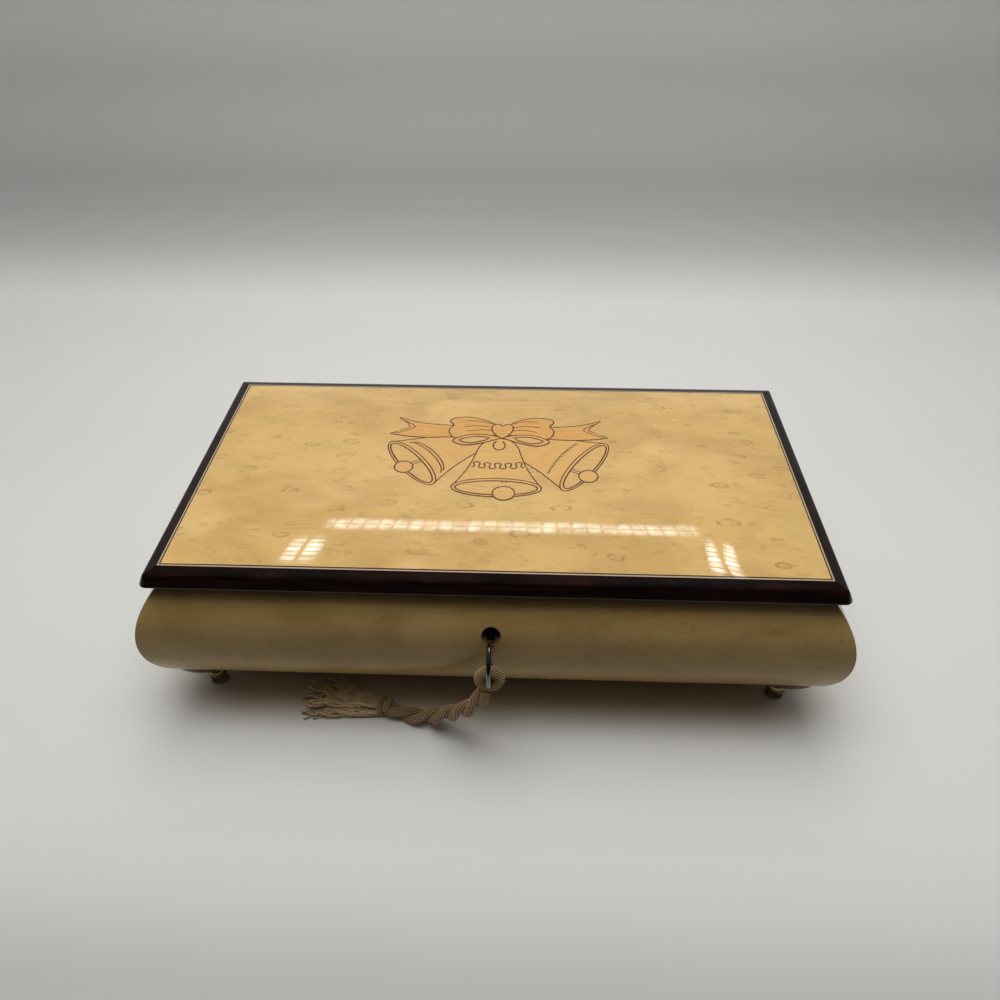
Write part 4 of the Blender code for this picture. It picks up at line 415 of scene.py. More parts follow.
def paper_floor():
    """The studio's off-white sheet, with painted light and shade along it that makes it greyer in front and
    at its sides, and a painted brown shadow under the box.
    """
    finish = Finish("studio_sheet", 0.80, Specular_IOR_Level=0.2)
    x, y, z = finish.split(finish.place)
    along = finish.math("MULTIPLY_ADD", finish.math("ADD", y, z), 0.5, 0.5)
    # Painted light and shade: each stop's grey follows how brightly the sheet is lit there, and it greys
    # towards the left and right.
    tones = [(0.5 + 0.5 * at, (grey, grey * 0.992, grey * 0.968)) for at, grey in SHEET_PAINTED_LIGHT]
    color = finish.stain(finish.ramp(along, *tones), (0.0, 0.0, 0.0), finish.away(x, 0.03), 0.10, 0.55, 0.12)
    # Painted shadow: the sheet under the box and just around it turns brown, where the box's shadow and the
    # wood's bounce fall.
    beside = finish.band(finish.away(x), 0.155, 0.120)
    below = finish.band(finish.away(y, CENTRE_Y), 0.098, 0.070)
    color = finish.mix(finish.times(finish.times(beside, below), 0.75), color, (0.38, 0.265, 0.125))
    mottle = finish.noise(finish.place, 30.0, 4.0, 0.6)
    finish.color(finish.mix(finish.times(mottle, 0.04), color, (0.60, 0.59, 0.58)))
    finish.bump(finish.noise(finish.place, 1500.0, 2.0), 0.00004, 0.3)
    return finish


# One bird's eye veneer in three copies. TOP is its colour where it is lit; the copy on the front and back
# rails is much darker, painted shade, and the copy on the ends and rail tops is darker too, painted shade,
# though less.
TOP = (0.765, 0.488, 0.168), (0.49, 0.286, 0.082)
SHADED_SIDE = (0.415, 0.272, 0.096), (0.265, 0.158, 0.048)
HALF_SHADED_END = (0.53, 0.370, 0.155), (0.38, 0.240, 0.088)
ALONG_Y = (1.0, 0.12, 1.0)
FOOT_SPOTS = (0.05, 0.032, 0.016)
KEY_SPOTS = (0.06, 0.05, 0.045)

FINISHES = {"lid_veneer": lid_veneer_finish(*TOP), "plywood": plywood(), "velvet": velvet()}
FINISHES.update({"zinc": cast_zinc(), "clear": clear_acrylic()})
for make, rows in (
    (
        veneer,
        (
            # The last number sets the strength of the painted shade round the middle of the bulge and under
            # the rim.
            ("front_veneer", *SHADED_SIDE, "front", 0.66),
            ("end_veneer", *HALF_SHADED_END, "side", 0.66),
            ("rail_veneer", *HALF_SHADED_END, "top"),
            ("rail_end_veneer", *HALF_SHADED_END, "end_top"),
        ),
    ),
    (lacquer, (("moulding", (0.0022, 0.0005, 0.0004), (0.0190, 0.0044, 0.0026)),)),
    (
        metal,
        (
            ("brass", (0.74, 0.52, 0.20), 0.28, (0.58, 0.37, 0.13), ALONG_Y),
            ("foot_brass", (0.33, 0.235, 0.13), 0.24, (0.14, 0.095, 0.045), (1.0, 1.0, 1.0), FOOT_SPOTS),
            ("steel", (0.60, 0.60, 0.61), 0.22, (0.46, 0.46, 0.47), (1.0, 0.10, 1.0)),
            ("key_metal", (0.23, 0.215, 0.20), 0.11, (0.12, 0.11, 0.10), (1.0, 1.0, 1.0), KEY_SPOTS),
        ),
    ),
    (
        cotton,
        (
            ("cotton", (0.165, 0.094, 0.032), (0.350, 0.222, 0.096), (0.520, 0.350, 0.168)),
            ("frayed_cotton", (0.230, 0.145, 0.055), (0.580, 0.420, 0.225), (0.800, 0.640, 0.400)),
        ),
    ),
    (
        inlay_wood,
        (
            ("bell_wood", (0.760, 0.440, 0.130), 0.0),
            ("bell_wood_left", (0.750, 0.425, 0.125), 0.7),
            ("bell_wood_right", (0.765, 0.430, 0.120), -0.7),
            ("mouth_wood", (0.725, 0.440, 0.140), 0.15),
            ("ribbon_wood", (0.740, 0.380, 0.095), 0.05),
            ("line_wood", (0.088, 0.024, 0.007), 0.3),
        ),
    ),
):
    for row in rows:
        FINISHES[row[0]] = make(*row)


def dress(node, finish):
    """Gives a CAD node one of the finishes."""
    slots = NODES[node].data.materials
    slots.clear()
    slots.append(FINISHES[finish].material)


# Mesh helpers


def into_scene(name, bm):
    """An object of a bmesh, in the scene. The bmesh is used up."""
    mesh = bpy.data.meshes.new(name)
    bm.to_mesh(mesh)
    bm.free()
    obj = bpy.data.objects.new(name, mesh)
    bpy.context.scene.collection.objects.link(obj)
    return obj


def piece(name, bm, finish, body, smooth=None, replaces=()):
    """Makes an object of a bmesh that rides on a body. smooth is the angle, in degrees, that stays sharp."""
    bmesh.ops.recalc_face_normals(bm, faces=bm.faces[:])
    obj = into_scene(name, bm)
    if smooth is not None:
        obj.data.shade_smooth()
        obj.data.set_sharp_from_angle(angle=math.radians(smooth))
    obj.data.materials.append(FINISHES[finish].material)
    if body:
        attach(obj, body)
    if replaces:
        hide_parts(*replaces)
    return obj


def carve(obj, tool):
    """Cuts the tool's mesh out of an object, at once, and removes the tool."""
    step = obj.modifiers.new("carve", "BOOLEAN")
    step.operation = "DIFFERENCE"
    step.solver = "EXACT"
    step.object = tool
    ready = obj.evaluated_get(bpy.context.evaluated_depsgraph_get())
    mesh = bpy.data.meshes.new_from_object(ready)
    obj.modifiers.remove(step)
    obj.data = mesh
    bpy.data.objects.remove(tool)


def cutter(bm):
    """An object for carve, made of a bmesh."""
    bmesh.ops.recalc_face_normals(bm, faces=bm.faces[:])
    return into_scene("cutter", bm)


def around(count):
    """The angles of even steps round a circle."""
    return [2 * math.pi * k / count for k in range(count)]


def eased(count):
    """Places from -1 to 1 that lie closer together towards both ends."""
    return [math.sin(math.pi * (k / count - 0.5)) for k in range(count + 1)]


def bridge(bm, lower, upper):
    """Quads between two closed rings of the same count."""
    for k in range(len(lower)):
        n = (k + 1) % len(lower)
        bm.faces.new((lower[k], lower[n], upper[n], upper[k]))


def cap(bm, ring, tip):
    """Triangles from a ring to a point."""
    for k, vert in enumerate(ring):
        bm.faces.new((vert, ring[(k + 1) % len(ring)], tip))


def loft(bm, rings, capped=True):
    """A skin over a row of rings, closed at both ends where it is capped."""
    for lower, upper in zip(rings, rings[1:]):
        bridge(bm, lower, upper)
    if capped:
        bm.faces.new(rings[0])
        bm.faces.new(rings[-1])


def smooth_route(points, per_span):
    """Points along a Catmull-Rom curve through the given points."""
    path = [Vector(p) for p in points]
    path = [path[0] * 2 - path[1]] + path + [path[-1] * 2 - path[-2]]
    made = []
    for k in range(1, len(path) - 2):
        p0, p1, p2, p3 = path[k - 1 : k + 3]
        for step in range(per_span):
            t = step / per_span
            curve = 2 * p1 + (p2 - p0) * t + (2 * p0 - 5 * p1 + 4 * p2 - p3) * t * t
            made.append(0.5 * (curve + (3 * p1 - p0 - 3 * p2 + p3) * t**3))
    made.append(path[-2])
    return made


def turned(bm, profile, segments, place=(0, 0, 0), axis="Z"):
    """Revolves (radius, height) points round an axis through place. Radius 0 closes an end."""
    turns = {
        "Z": Matrix.Identity(3),
        "X": Matrix.Rotation(math.radians(90), 3, "Y"),
        "Y": Matrix.Rotation(math.radians(-90), 3, "X"),
    }
    rings = []
    for radius, height in profile:
        steps = around(segments) if radius > 0 else [0.0]
        spots = [Vector((radius * math.cos(a), radius * math.sin(a), height)) for a in steps]
        rings.append([bm.verts.new(turns[axis] @ spot + Vector(place)) for spot in spots])
    for lower, upper in zip(rings, rings[1:]):
        if len(lower) == len(upper):
            bridge(bm, lower, upper)
        else:
            tip, ring = sorted((lower, upper), key=len)
            cap(bm, ring, tip[0])


def frames_along(points):
    """(point, side, up) at each point, with frames that turn as little as they can."""
    made = []
    side = None
    for k, point in enumerate(points):
        ahead = (points[min(k + 1, len(points) - 1)] - points[max(k - 1, 0)]).normalized()
        if side is None:
            side = ahead.cross(Vector((0, 0, 1)))
            if side.length < 0.1:
                side = ahead.cross(Vector((0, 1, 0)))
        side = (side - ahead * side.dot(ahead)).normalized()
        made.append((point, side, ahead.cross(side)))
    return made


def tube(bm, points, radius_at, sides, closed=False, tone=1.0):
    """A tube along points. radius_at(share, angle) gives its radius. Each vertex stores a painted shade
    value: the last argument on a ridge's crest, less in the valleys between ridges.
    """
    tones = bm.verts.layers.float.get("tone") or bm.verts.layers.float.new("tone")
    rings = []
    angles = around(sides)
    last = len(points) - 1
    for k, (point, side, up) in enumerate(frames_along(points)):
        ring = []
        radii = [radius_at(k / last, angle) for angle in angles]
        for angle, radius in zip(angles, radii):
            ring.append(bm.verts.new(point + (side * math.cos(angle) + up * math.sin(angle)) * radius))
            # Painted shade: the stored value falls with the radius, so the valleys between yarns are darker.
            ring[-1][tones] = tone * radius / max(radii)
        rings.append(ring)
    loft(bm, rings, False)
    if closed:
        return
    for ring, point in ((rings[0], points[0]), (rings[-1], points[-1])):
        tip = bm.verts.new(point)
        tip[tones] = tone
        cap(bm, ring, tip)


def rounded_block(low, high, radius, cell=0.004, lift=0.0, rough=0.0, seed=0.0):
    """A block with round edges, cut into cells, whose faces swell by lift and wander by rough."""
    bm = bmesh.new()
    low, high = Vector(low), Vector(high)
    size = high - low
    counts = [max(2, round(s / cell)) for s in size]

    def stations(length, count):
        inner = [radius + (length - 2 * radius) * k / count for k in range(count + 1)]
        corner = [radius * (1 - math.cos(math.pi / 2 * k / 3)) for k in range(3)]
        return corner + inner + [length - c for c in reversed(corner)]

    grids = [stations(size[axis], counts[axis]) for axis in range(3)]
    corners = {}

    def vert(i, j, k):
        key = (i, j, k)
        if key not in corners:
            spot = Vector((grids[0][i], grids[1][j], grids[2][k]))
            core = Vector([min(max(spot[a], radius), size[a] - radius) for a in range(3)])
            away = spot - core
            if away.length > 0:
                scale = max(abs(c) for c in away) / away.length
                spot = core + away * scale
            fall = 1.0
            for a in range(3):
                share = 2 * spot[a] / size[a] - 1
                if abs(share) < 0.999:
                    fall *= 1 - share**4
            outward = away.normalized() if away.length > 0 else Vector((0, 0, 0))
            wander = noise.noise((spot + low) * 180 + Vector((seed, 0, 0))) * rough
            corners[key] = bm.verts.new(low + spot + outward * (lift * fall + wander))
        return corners[key]

    spans = [len(g) - 1 for g in grids]
    for axis in range(3):
        a, b = (axis + 1) % 3, (axis + 2) % 3
        for end in (0, spans[axis]):
            for i in range(spans[a]):
                for j in range(spans[b]):
                    quad = []
                    for di, dj in ((0, 0), (1, 0), (1, 1), (0, 1)):
                        key = [0, 0, 0]
                        key[axis], key[a], key[b] = end, i + di, j + dj
                        quad.append(vert(*key))
                    bm.faces.new(quad)
    return bm


# Case and lid


def crown_height(x, y):
    """Height of the lid's crown at a place, flat in the middle and curved down to each edge."""
    level = CROWN
    for inside in (BOARD_HALF_X - abs(x), BOARD_HALF_Y - abs(y - CENTRE_Y)):
        t = min(max(inside / CROWN_MARGIN, 0.0), 1.0)
        level *= 1 - (1 - t) ** CROWN_POWER
    return LID_EDGE_TOP + level


def make_lid_veneer():
    """The veneer over the whole crowned board, fine enough that the gloss runs smooth."""
    bm = bmesh.new()
    cells_x, cells_y = 150, 90
    grid = []
    for across in eased(cells_x):
        x = BOARD_HALF_X * across
        places = [CENTRE_Y + BOARD_HALF_Y * back for back in eased(cells_y)]
        grid.append([bm.verts.new((x, y, crown_height(x, y) + VENEER)) for y in places])
    for i in range(cells_x):
        for j in range(cells_y):
            bm.faces.new((grid[i][j], grid[i + 1][j], grid[i + 1][j + 1], grid[i][j + 1]))
    edge = [e for e in bm.edges if e.is_boundary]
    made = bmesh.ops.extrude_edge_only(bm, edges=edge)
    for vert in (v for v in made["geom"] if isinstance(v, bmesh.types.BMVert)):
        vert.co.z -= VENEER * 2
    piece("lid_veneer", bm, "lid_veneer", "lid", smooth=60)


def mitred_run(profile, half_x, half_y, side, cells=1, corner=0.0):
    """Runs (inset, height) points along one side of a rectangle, mitred at both ends, with round corners."""
    bm = bmesh.new()
    along, across = (half_x, half_y) if side in ("front", "back") else (half_y, half_x)
    rings = []
    if corner:
        turns = [k / 8 for k in range(9)]
        stations = [(-1, t) for t in turns[::-1]] + [(1, t) for t in turns]
        for end, turn in stations:
            ring = []
            for inset, height in profile:
                reach = corner - inset
                glue = turn * GLUE_LINE / 2
                if reach > 0:
                    a = turn * math.pi / 4
                    x = along - corner + reach * math.sin(a) - glue
                    y = across - corner + reach * math.cos(a)
                else:
                    x = along - inset - glue - 0.0002 * (1 - turn)
                    y = across - inset
                ring.append(bm.verts.new((end * x, -y, height)))
            rings.append(ring)
    for k in range(0 if corner else cells + 1):
        share = 2 * k / cells - 1
        reach = along - GLUE_LINE / 2
        spots = [(share * (reach - inset), inset - across, height) for inset, height in profile]
        rings.append([bm.verts.new(spot) for spot in spots])
    loft(bm, rings)
    quarter = {"front": 0, "right": 1, "back": 2, "left": 3}[side]
    bmesh.ops.rotate(bm, matrix=Matrix.Rotation(quarter * math.pi / 2, 3, "Z"), verts=bm.verts)
    bmesh.ops.translate(bm, vec=(0, CENTRE_Y, 0), verts=bm.verts)
    return bm


def make_mouldings():
    """Four lacquered mouldings: a nearly flat top, a leaning face, a rounded lip, and rounded corners."""
    shape = ((0.0024, 0.0, 0), (0.0009, 0.0002, 0), (0.0001, 0.0008, 0), (0.0, 0.0013, 0))
    shape += ((0.0004, 0.0022, 0), (0.0013, 0.0041, 0), (0.0022, 0.0057, 0), (0.0028, 0.0063, 0))
    nose = smooth_route(shape, 5)
    under = 0.00003
    profile = [(MOULDING_WIDTH, LID_UNDER + under)]
    profile += [(p.x, LID_UNDER + max(p.y, under)) for p in nose]
    profile += [(0.0036, LID_UNDER + 0.0066), (0.0052, LID_UNDER + 0.0069), (MOULDING_WIDTH, LID_EDGE_TOP)]
    for side in ("front", "right", "back", "left"):
        bm = mitred_run(profile, LID_HALF_X, LID_HALF_Y, side, corner=0.0036)
        name = f"moulding_{side}"
        piece(name, bm, "moulding", "lid", smooth=30, replaces=[f"lid_moulding_{side}"])


def bulge_arc(steps, offset):
    """(inset from the widest line, height) points up the bulging rail, moved out by offset."""
    radius = BULGE_RADIUS + offset
    first = math.asin((FOOT_HEIGHT - BULGE_HEIGHT) / radius)
    last = math.asin((RIM - BULGE_HEIGHT) / radius)
    angles = [first + (last - first) * k / steps for k in range(steps + 1)]
    return [(BULGE_RADIUS - radius * math.cos(a), BULGE_HEIGHT + radius * math.sin(a)) for a in angles]


def make_case_veneers():
    """Veneer over the four bombe rails, mitred at the corners, with the keyhole drilled in front."""
    profile = bulge_arc(56, VENEER) + bulge_arc(56, 0.0)[::-1]
    for side in ("front", "right", "back", "left"):
        bm = mitred_run(profile, HALF_LENGTH, HALF_WIDTH, side, 90 if side == "front" else 2)
        finish = "front_veneer" if side in ("front", "back") else "end_veneer"
        sheet = piece(f"veneer_{side}", bm, finish, "case", smooth=35)
        if side == "front":
            drill = bmesh.new()
            face = CENTRE_Y - HALF_WIDTH
            near, far = face - 0.01, face + 0.02
            hole = [(0, near), (KEYHOLE_RADIUS, near), (KEYHOLE_RADIUS, far), (0, far)]
            turned(drill, hole, 64, (0, 0, KEY_HEIGHT), "Y")
            carve(sheet, cutter(drill))
            sheet.data.shade_smooth()
            sheet.data.set_sharp_from_angle(angle=math.radians(35))
            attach(sheet, "case")


def under_surface(x, y):
    """Height of the case's rounded underside above a place, where its two bulges meet at the corner."""
    inset = min(HALF_LENGTH - abs(x), HALF_WIDTH - abs(y - CENTRE_Y))
    reach = BULGE_RADIUS - min(inset, BULGE_RADIUS)
    drop = math.sqrt(max(BULGE_RADIUS**2 - reach**2, 0.0))
    return max(BULGE_HEIGHT - drop, FOOT_HEIGHT)


def make_feet():
    """Cast brass feet: a turned ball on a pad, and a ribbed leaf that runs from it up under the corner."""
    outline = ((0.0036, 0.0, 0), (0.0043, 0.0006, 0), (0.0043, 0.0015, 0), (0.0034, 0.0024, 0))
    outline += ((0.0030, 0.0031, 0), (0.0040, 0.0042, 0), (0.0048, 0.0057, 0), (0.0050, 0.0074, 0))
    outline += ((0.0046, 0.0091, 0), (0.0040, 0.0101, 0), (0.0046, 0.0107, 0))
    ball = [(0, 0)] + [(p.x, max(p.y, 0.0)) for p in smooth_route(outline, 4)] + [(0, 0.0107)]
    leaf_start = -0.0042
    leaf_length = 0.0200
    leaf_half = 0.0058
    leaf_foot = 0.0052
    for name in ("front_left", "front_right", "back_left", "back_right"):
        sx = -1 if "left" in name else 1
        sy = -1 if "front" in name else 1
        centre = foot_centre(sx, sy)
        bm = bmesh.new()
        turned(bm, ball, 40, centre)
        heading = Vector((sx, sy, 0)).normalized()
        across = Vector((-heading.y, heading.x, 0))
        rows, columns = 34, 16
        upper, lower = [], []
        for i in range(rows + 1):
            t = i / rows
            along = leaf_start + leaf_length * t
            half = leaf_half * (1 - t**2) ** 0.8 * (1 + 0.07 * math.cos(t * 26))
            row_up, row_low = [], []
            for j in range(columns + 1):
                v = 2 * j / columns - 1
                spot = centre + heading * along + across * (half * v)
                top = under_surface(spot.x, spot.y) - SEAT_GAP
                rib = 0.00035 * math.exp(-((v * 7) ** 2))
                veins = 0.00016 * math.cos((t * 9 - abs(v) * 2.2) * 2 * math.pi) * (1 - v * v)
                hang = max(top - leaf_foot, 0.0) * (1 - t) * (1 - abs(v) ** 1.6)
                thick = 0.00045 + hang + rib + veins * (1 - t)
                row_up.append(bm.verts.new((spot.x, spot.y, top)))
                row_low.append(bm.verts.new((spot.x, spot.y, top - max(thick, 0.0002))))
            upper.append(row_up)
            lower.append(row_low)
        close_sheet(bm, upper, lower)
        piece(f"cast_foot_{name}", bm, "foot_brass", "case", smooth=50, replaces=[f"foot_{name}"])


def foot_centre(sx, sy):
    """The middle of a foot's ball, just outside the corner of the case's flat underside."""
    inset = BULGE_RADIUS - math.sqrt(BULGE_RADIUS**2 - (BULGE_HEIGHT - FOOT_HEIGHT) ** 2)
    x = sx * (HALF_LENGTH - inset + FOOT_OUTSET)
    y = sy * (HALF_WIDTH - inset + FOOT_OUTSET * 0.8)
    return Vector((x, CENTRE_Y + y, 0))


def close_sheet(bm, upper, lower):
    """Faces for two grids of points, one above the other, and the walls between their edges."""
    rows, columns = len(upper) - 1, len(upper[0]) - 1
    for grid in (upper, lower):
        for i in range(rows):
            for j in range(columns):
                bm.faces.new((grid[i][j], grid[i + 1][j], grid[i + 1][j + 1], grid[i][j + 1]))
    for i in range(rows):
        for j in (0, columns):
            bm.faces.new((upper[i][j], upper[i + 1][j], lower[i + 1][j], lower[i][j]))
    for j in range(columns):
        for i in (0, rows):
            bm.faces.new((upper[i][j], upper[i][j + 1], lower[i][j + 1], lower[i][j]))


# Marquetry: three bells tied with a ribbon bow, drawn in millimetres about its own centre

MOTIF_CENTRE = Vector((-0.0012, CENTRE_Y + 0.0040))
LAYER = 0.000016


def on_lid(point, lift):
    """A drawn point, in millimetres, laid on the crown with a small lift."""
    x = MOTIF_CENTRE.x + point[0] / 1000
    y = MOTIF_CENTRE.y + point[1] / 1000
    return Vector((x, y, crown_height(x, y) + lift))


def ellipse(centre, half_long, half_short, tilt, start=0.0, end=360.0, steps=48):
    """Points of an elliptic arc, its long axis tilted by an angle in degrees."""
    turn = math.radians(tilt)
    made = []
    for k in range(steps + 1):
        a = math.radians(start + (end - start) * k / steps)
        u, v = half_long * math.cos(a), half_short * math.sin(a)
        x = centre[0] + u * math.cos(turn) - v * math.sin(turn)
        made.append((x, centre[1] + u * math.sin(turn) + v * math.cos(turn)))
    return made


def curve_through(points, per_span=8):
    """A smooth drawn line through a few points."""
    return [(p.x, p.y) for p in smooth_route([(x, y, 0) for x, y in points], per_span)]


class Picture:
    """Marquetry built up in layers: each shape's wood covers the lines of the shapes before it."""

    def __init__(self, width):
        self.width = width
        self.lift = VENEER
        self.lines = bmesh.new()

    def inlay(self, name, outline, finish):
        """One flat piece of wood, cut into strips so that it follows the crown."""
        self.lift += LAYER
        bm = bmesh.new()
        bm.faces.new([bm.verts.new((x, y, 0)) for x, y in outline])
        high = max(y for x, y in outline)
        level = math.ceil(min(y for x, y in outline) / 2) * 2
        while level < high:
            geometry = bm.verts[:] + bm.edges[:] + bm.faces[:]
            bmesh.ops.bisect_plane(bm, geom=geometry, plane_co=(0, level, 0), plane_no=(0, 1, 0), dist=1e-5)
            level += 2
        bmesh.ops.triangulate(bm, faces=bm.faces[:])
        for vert in bm.verts:
            vert.co = on_lid(vert.co, self.lift)
        piece(f"marquetry_{name}", bm, finish, "lid")

    def line(self, points, closed=False, weight=1.0):
        """A thin dark strip along drawn points, a little wider and narrower as a saw cut is."""
        bm = self.lines
        lift = self.lift + LAYER / 2
        if closed and points[0] != points[-1]:
            points = points + [points[0]]
        left, right = [], []
        last = len(points) - 1
        for k, (x, y) in enumerate(points):
            before = points[k - 1] if k else (points[last - 1] if closed else points[0])
            after = points[k + 1] if k < last else (points[1] if closed else points[last])
            ahead = Vector((after[0] - before[0], after[1] - before[1]))
            if ahead.length == 0:
                ahead = Vector((1, 0))
            ahead.normalize()
            waver = 1.0 + 0.22 * noise.noise(Vector((x * 0.35, y * 0.35, 2.0)))
            off = Vector((-ahead.y, ahead.x)) * (self.width * weight * waver / 2)
            left.append(bm.verts.new(on_lid((x + off.x, y + off.y), lift)))
            right.append(bm.verts.new(on_lid((x - off.x, y - off.y), lift)))
        for k in range(last):
            bm.faces.new((left[k], left[k + 1], right[k + 1], right[k]))

    def shape(self, name, outline, finish, weight=1.0):
        """A piece of wood with its outline."""
        self.inlay(name, outline, finish)
        self.line(outline, True, weight)

    def finish(self):
        piece("marquetry_lines", self.lines, "line_wood", "lid")


def placed(points, centre, tilt):
    """Drawn points turned by tilt degrees about the origin and moved to a centre."""
    turn = math.radians(tilt)
    cos, sin = math.cos(turn), math.sin(turn)
    return [(centre[0] + x * cos - y * sin, centre[1] + x * sin + y * cos) for x, y in points]


def bell_side(half_mouth, height):
    """One side of a bell, from its mouth at y = 0 up to its crown."""
    shares = ((1.0, 0.0), (0.90, 0.10), (0.74, 0.28), (0.62, 0.46), (0.53, 0.64), (0.44, 0.82))
    shares += ((0.26, 0.95), (0.0, 1.0))
    return curve_through([(half_mouth * out, height * up) for out, up in shares], 7)


def draw_bell(picture, label, centre, tilt, half_mouth, height, lip, swing, woods):
    """A bell with a lipped mouth and a clapper that swings out past its rim."""
    body_wood, mouth_wood = woods
    right = bell_side(half_mouth, height)
    edge = right + [(-x, y) for x, y in reversed(right[:-1])]
    body = edge + ellipse((0, 0), half_mouth, lip, 0, 180, 360)[1:-1]
    picture.inlay(f"bell_{label}", placed(body, centre, tilt), body_wood)
    picture.line(placed(edge, centre, tilt))
    picture.line(placed(ellipse((0, 0), half_mouth, lip, 0)[:-1], centre, tilt), True)
    inner = ellipse((0, -lip * 0.04), half_mouth * 0.91, lip * 0.76, 0)[:-1]
    picture.shape(f"mouth_{label}", placed(inner, centre, tilt), mouth_wood, 1.25)
    across, down, size = swing
    for off in (-0.9, 0.9):
        picture.line(placed([(across + off, lip * 0.70), (across + off, down)], centre, tilt), False, 0.9)
    ball = ellipse((across, down), size, size * 0.97, 0)[:-1]
    picture.shape(f"clapper_{label}", placed(ball, centre, tilt), body_wood, 1.1)


def scallops(left, right, level, count, depth):
    """A band of round waves with narrow necks, sagging a little in the middle."""
    made = []
    steps = 20 * count
    for k in range(steps + 1):
        t = k / steps
        turn = 2 * math.pi * count * t
        sag = -1.4 * (1 - (2 * t - 1) ** 2)
        x = left + (right - left) * t + 0.85 * math.sin(2 * turn)
        made.append((x, level + sag + depth * math.cos(turn + math.pi)))
    return made


def make_marquetry():
    """The picture in the middle of the lid, each shape its own veneer between dark lines."""
    picture = Picture(INLAY_LINE * 1000)
    left_place, left_tilt = (-41.4, -6.6), -54.5
    right_place, right_tilt = (43.6, -7.2), 60.0
    woods = ("bell_wood_left", "mouth_wood")
    draw_bell(picture, "left", left_place, left_tilt, 21.0, 47.0, 6.6, (1.2, -5.0, 4.6), woods)
    for level, half in ((9.6, 15.6), (11.4, 14.8)):
        band = ellipse((0, level - 3.2), half, 5.4, 0, 12, 168, 30)
        picture.line(placed(band, left_place, left_tilt))
    woods = ("bell_wood_right", "mouth_wood")
    draw_bell(picture, "right", right_place, right_tilt, 22.4, 50.0, 6.4, (-6.4, -5.2, 4.7), woods)
    zigzag = []
    for k in range(31):
        t = k / 30
        zigzag.append((-14.6 + 29.2 * t, 12.4 + (0.6 if k % 2 else -0.6) + 1.6 * (1 - (2 * t - 1) ** 2)))
    picture.line(placed(zigzag, right_place, right_tilt))

    draw_tails(picture)

    woods = ("bell_wood", "mouth_wood")
    draw_bell(picture, "centre", (1.0, -25.4), 0.0, 21.4, 40.4, 6.9, (3.6, -4.2, 5.2), woods)
    picture.line(scallops(-11.8, 14.0, -7.2, 5, 2.3), False, 1.15)

    draw_bow(picture)
    picture.finish()


def draw_tails(picture):
    """The ribbon's two forked tails, which fly out behind the loops."""
    for label, mirror, shift, drop in (("left", -1, 0.0, 0.0), ("right", 1, 1.0, -0.6)):
        upper = curve_through([(12, 25.0), (24, 26.2), (37, 27.6), (46, 30.2), (52.5, 33.4)], 6)
        fork = [(47.2, 27.6), (45.6, 23.8)]
        lower = curve_through([(55.4, 17.6), (46, 15.6), (36, 14.8), (24, 15.6), (12, 16.4)], 6)
        outline = [((x + shift) * mirror, y + drop) for x, y in upper + fork + lower]
        picture.shape(f"tail_{label}", outline, "ribbon_wood")
        hem = curve_through([(50.8, 31.0), (45.2, 27.0), (43.4, 23.6), (49.6, 19.4), (53.0, 18.2)], 6)
        picture.line([((x + shift) * mirror, y + drop) for x, y in hem], False, 0.8)


def draw_bow(picture):
    """The bow: two loops with their turned undersides, the knot between them and the ring it hangs from."""
    middle = 2.4
    for label, mirror, stretch in (("left", -1, 1.0), ("right", 1, 0.96)):

        def own(points, mirror=mirror, stretch=stretch):
            return [(middle + x * stretch * mirror, y) for x, y in points]

        loop = [(3.0, 27.0), (9, 31.6), (17, 34.4), (25.2, 33.6), (27.6, 30.0), (25.4, 26.6), (27.4, 22.6)]
        loop += [(27.0, 18.6), (23.6, 14.8), (13, 17.0), (3.0, 17.6)]
        picture.shape(f"loop_{label}", own(curve_through(loop, 6)), "ribbon_wood", 1.1)
        under = [(0.5, 15.6), (8, 17.8), (17, 17.6), (25.0, 12.6), (19.0, 8.6), (9, 11.0), (0.5, 15.0)]
        picture.shape(f"fold_{label}", own(curve_through(under, 6)), "ribbon_wood")
        inside = curve_through([(6.5, 15.6), (14, 16.0), (21.6, 12.8), (16, 10.4), (8.5, 13.0)], 6)
        picture.shape(f"inside_{label}", own(inside), "mouth_wood", 1.3)
        for start, bend, end in (
            ((5.2, 28.0), (11.0, 30.4), (19.0, 30.8)),
            ((5.8, 24.8), (12.0, 26.0), (20.4, 25.2)),
            ((5.4, 21.6), (11.0, 22.4), (18.6, 20.8)),
        ):
            picture.line(own(curve_through([start, bend, end], 7)), False, 0.75)
    picture.line(ellipse((middle - 1.2, 8.6), 3.0, 3.9, 0, 118, 422, 30), False, 1.1)
    knot = [(0.0, 25.8), (2.2, 27.8), (4.9, 26.6), (5.4, 22.4), (3.2, 17.6), (0.0, 14.6)]
    right = curve_through(knot, 6)
    outline = [(middle + x, y) for x, y in right] + [(middle - x, y) for x, y in reversed(right[1:-1])]
    picture.shape("knot", outline, "ribbon_wood", 1.1)


# Key and tassel


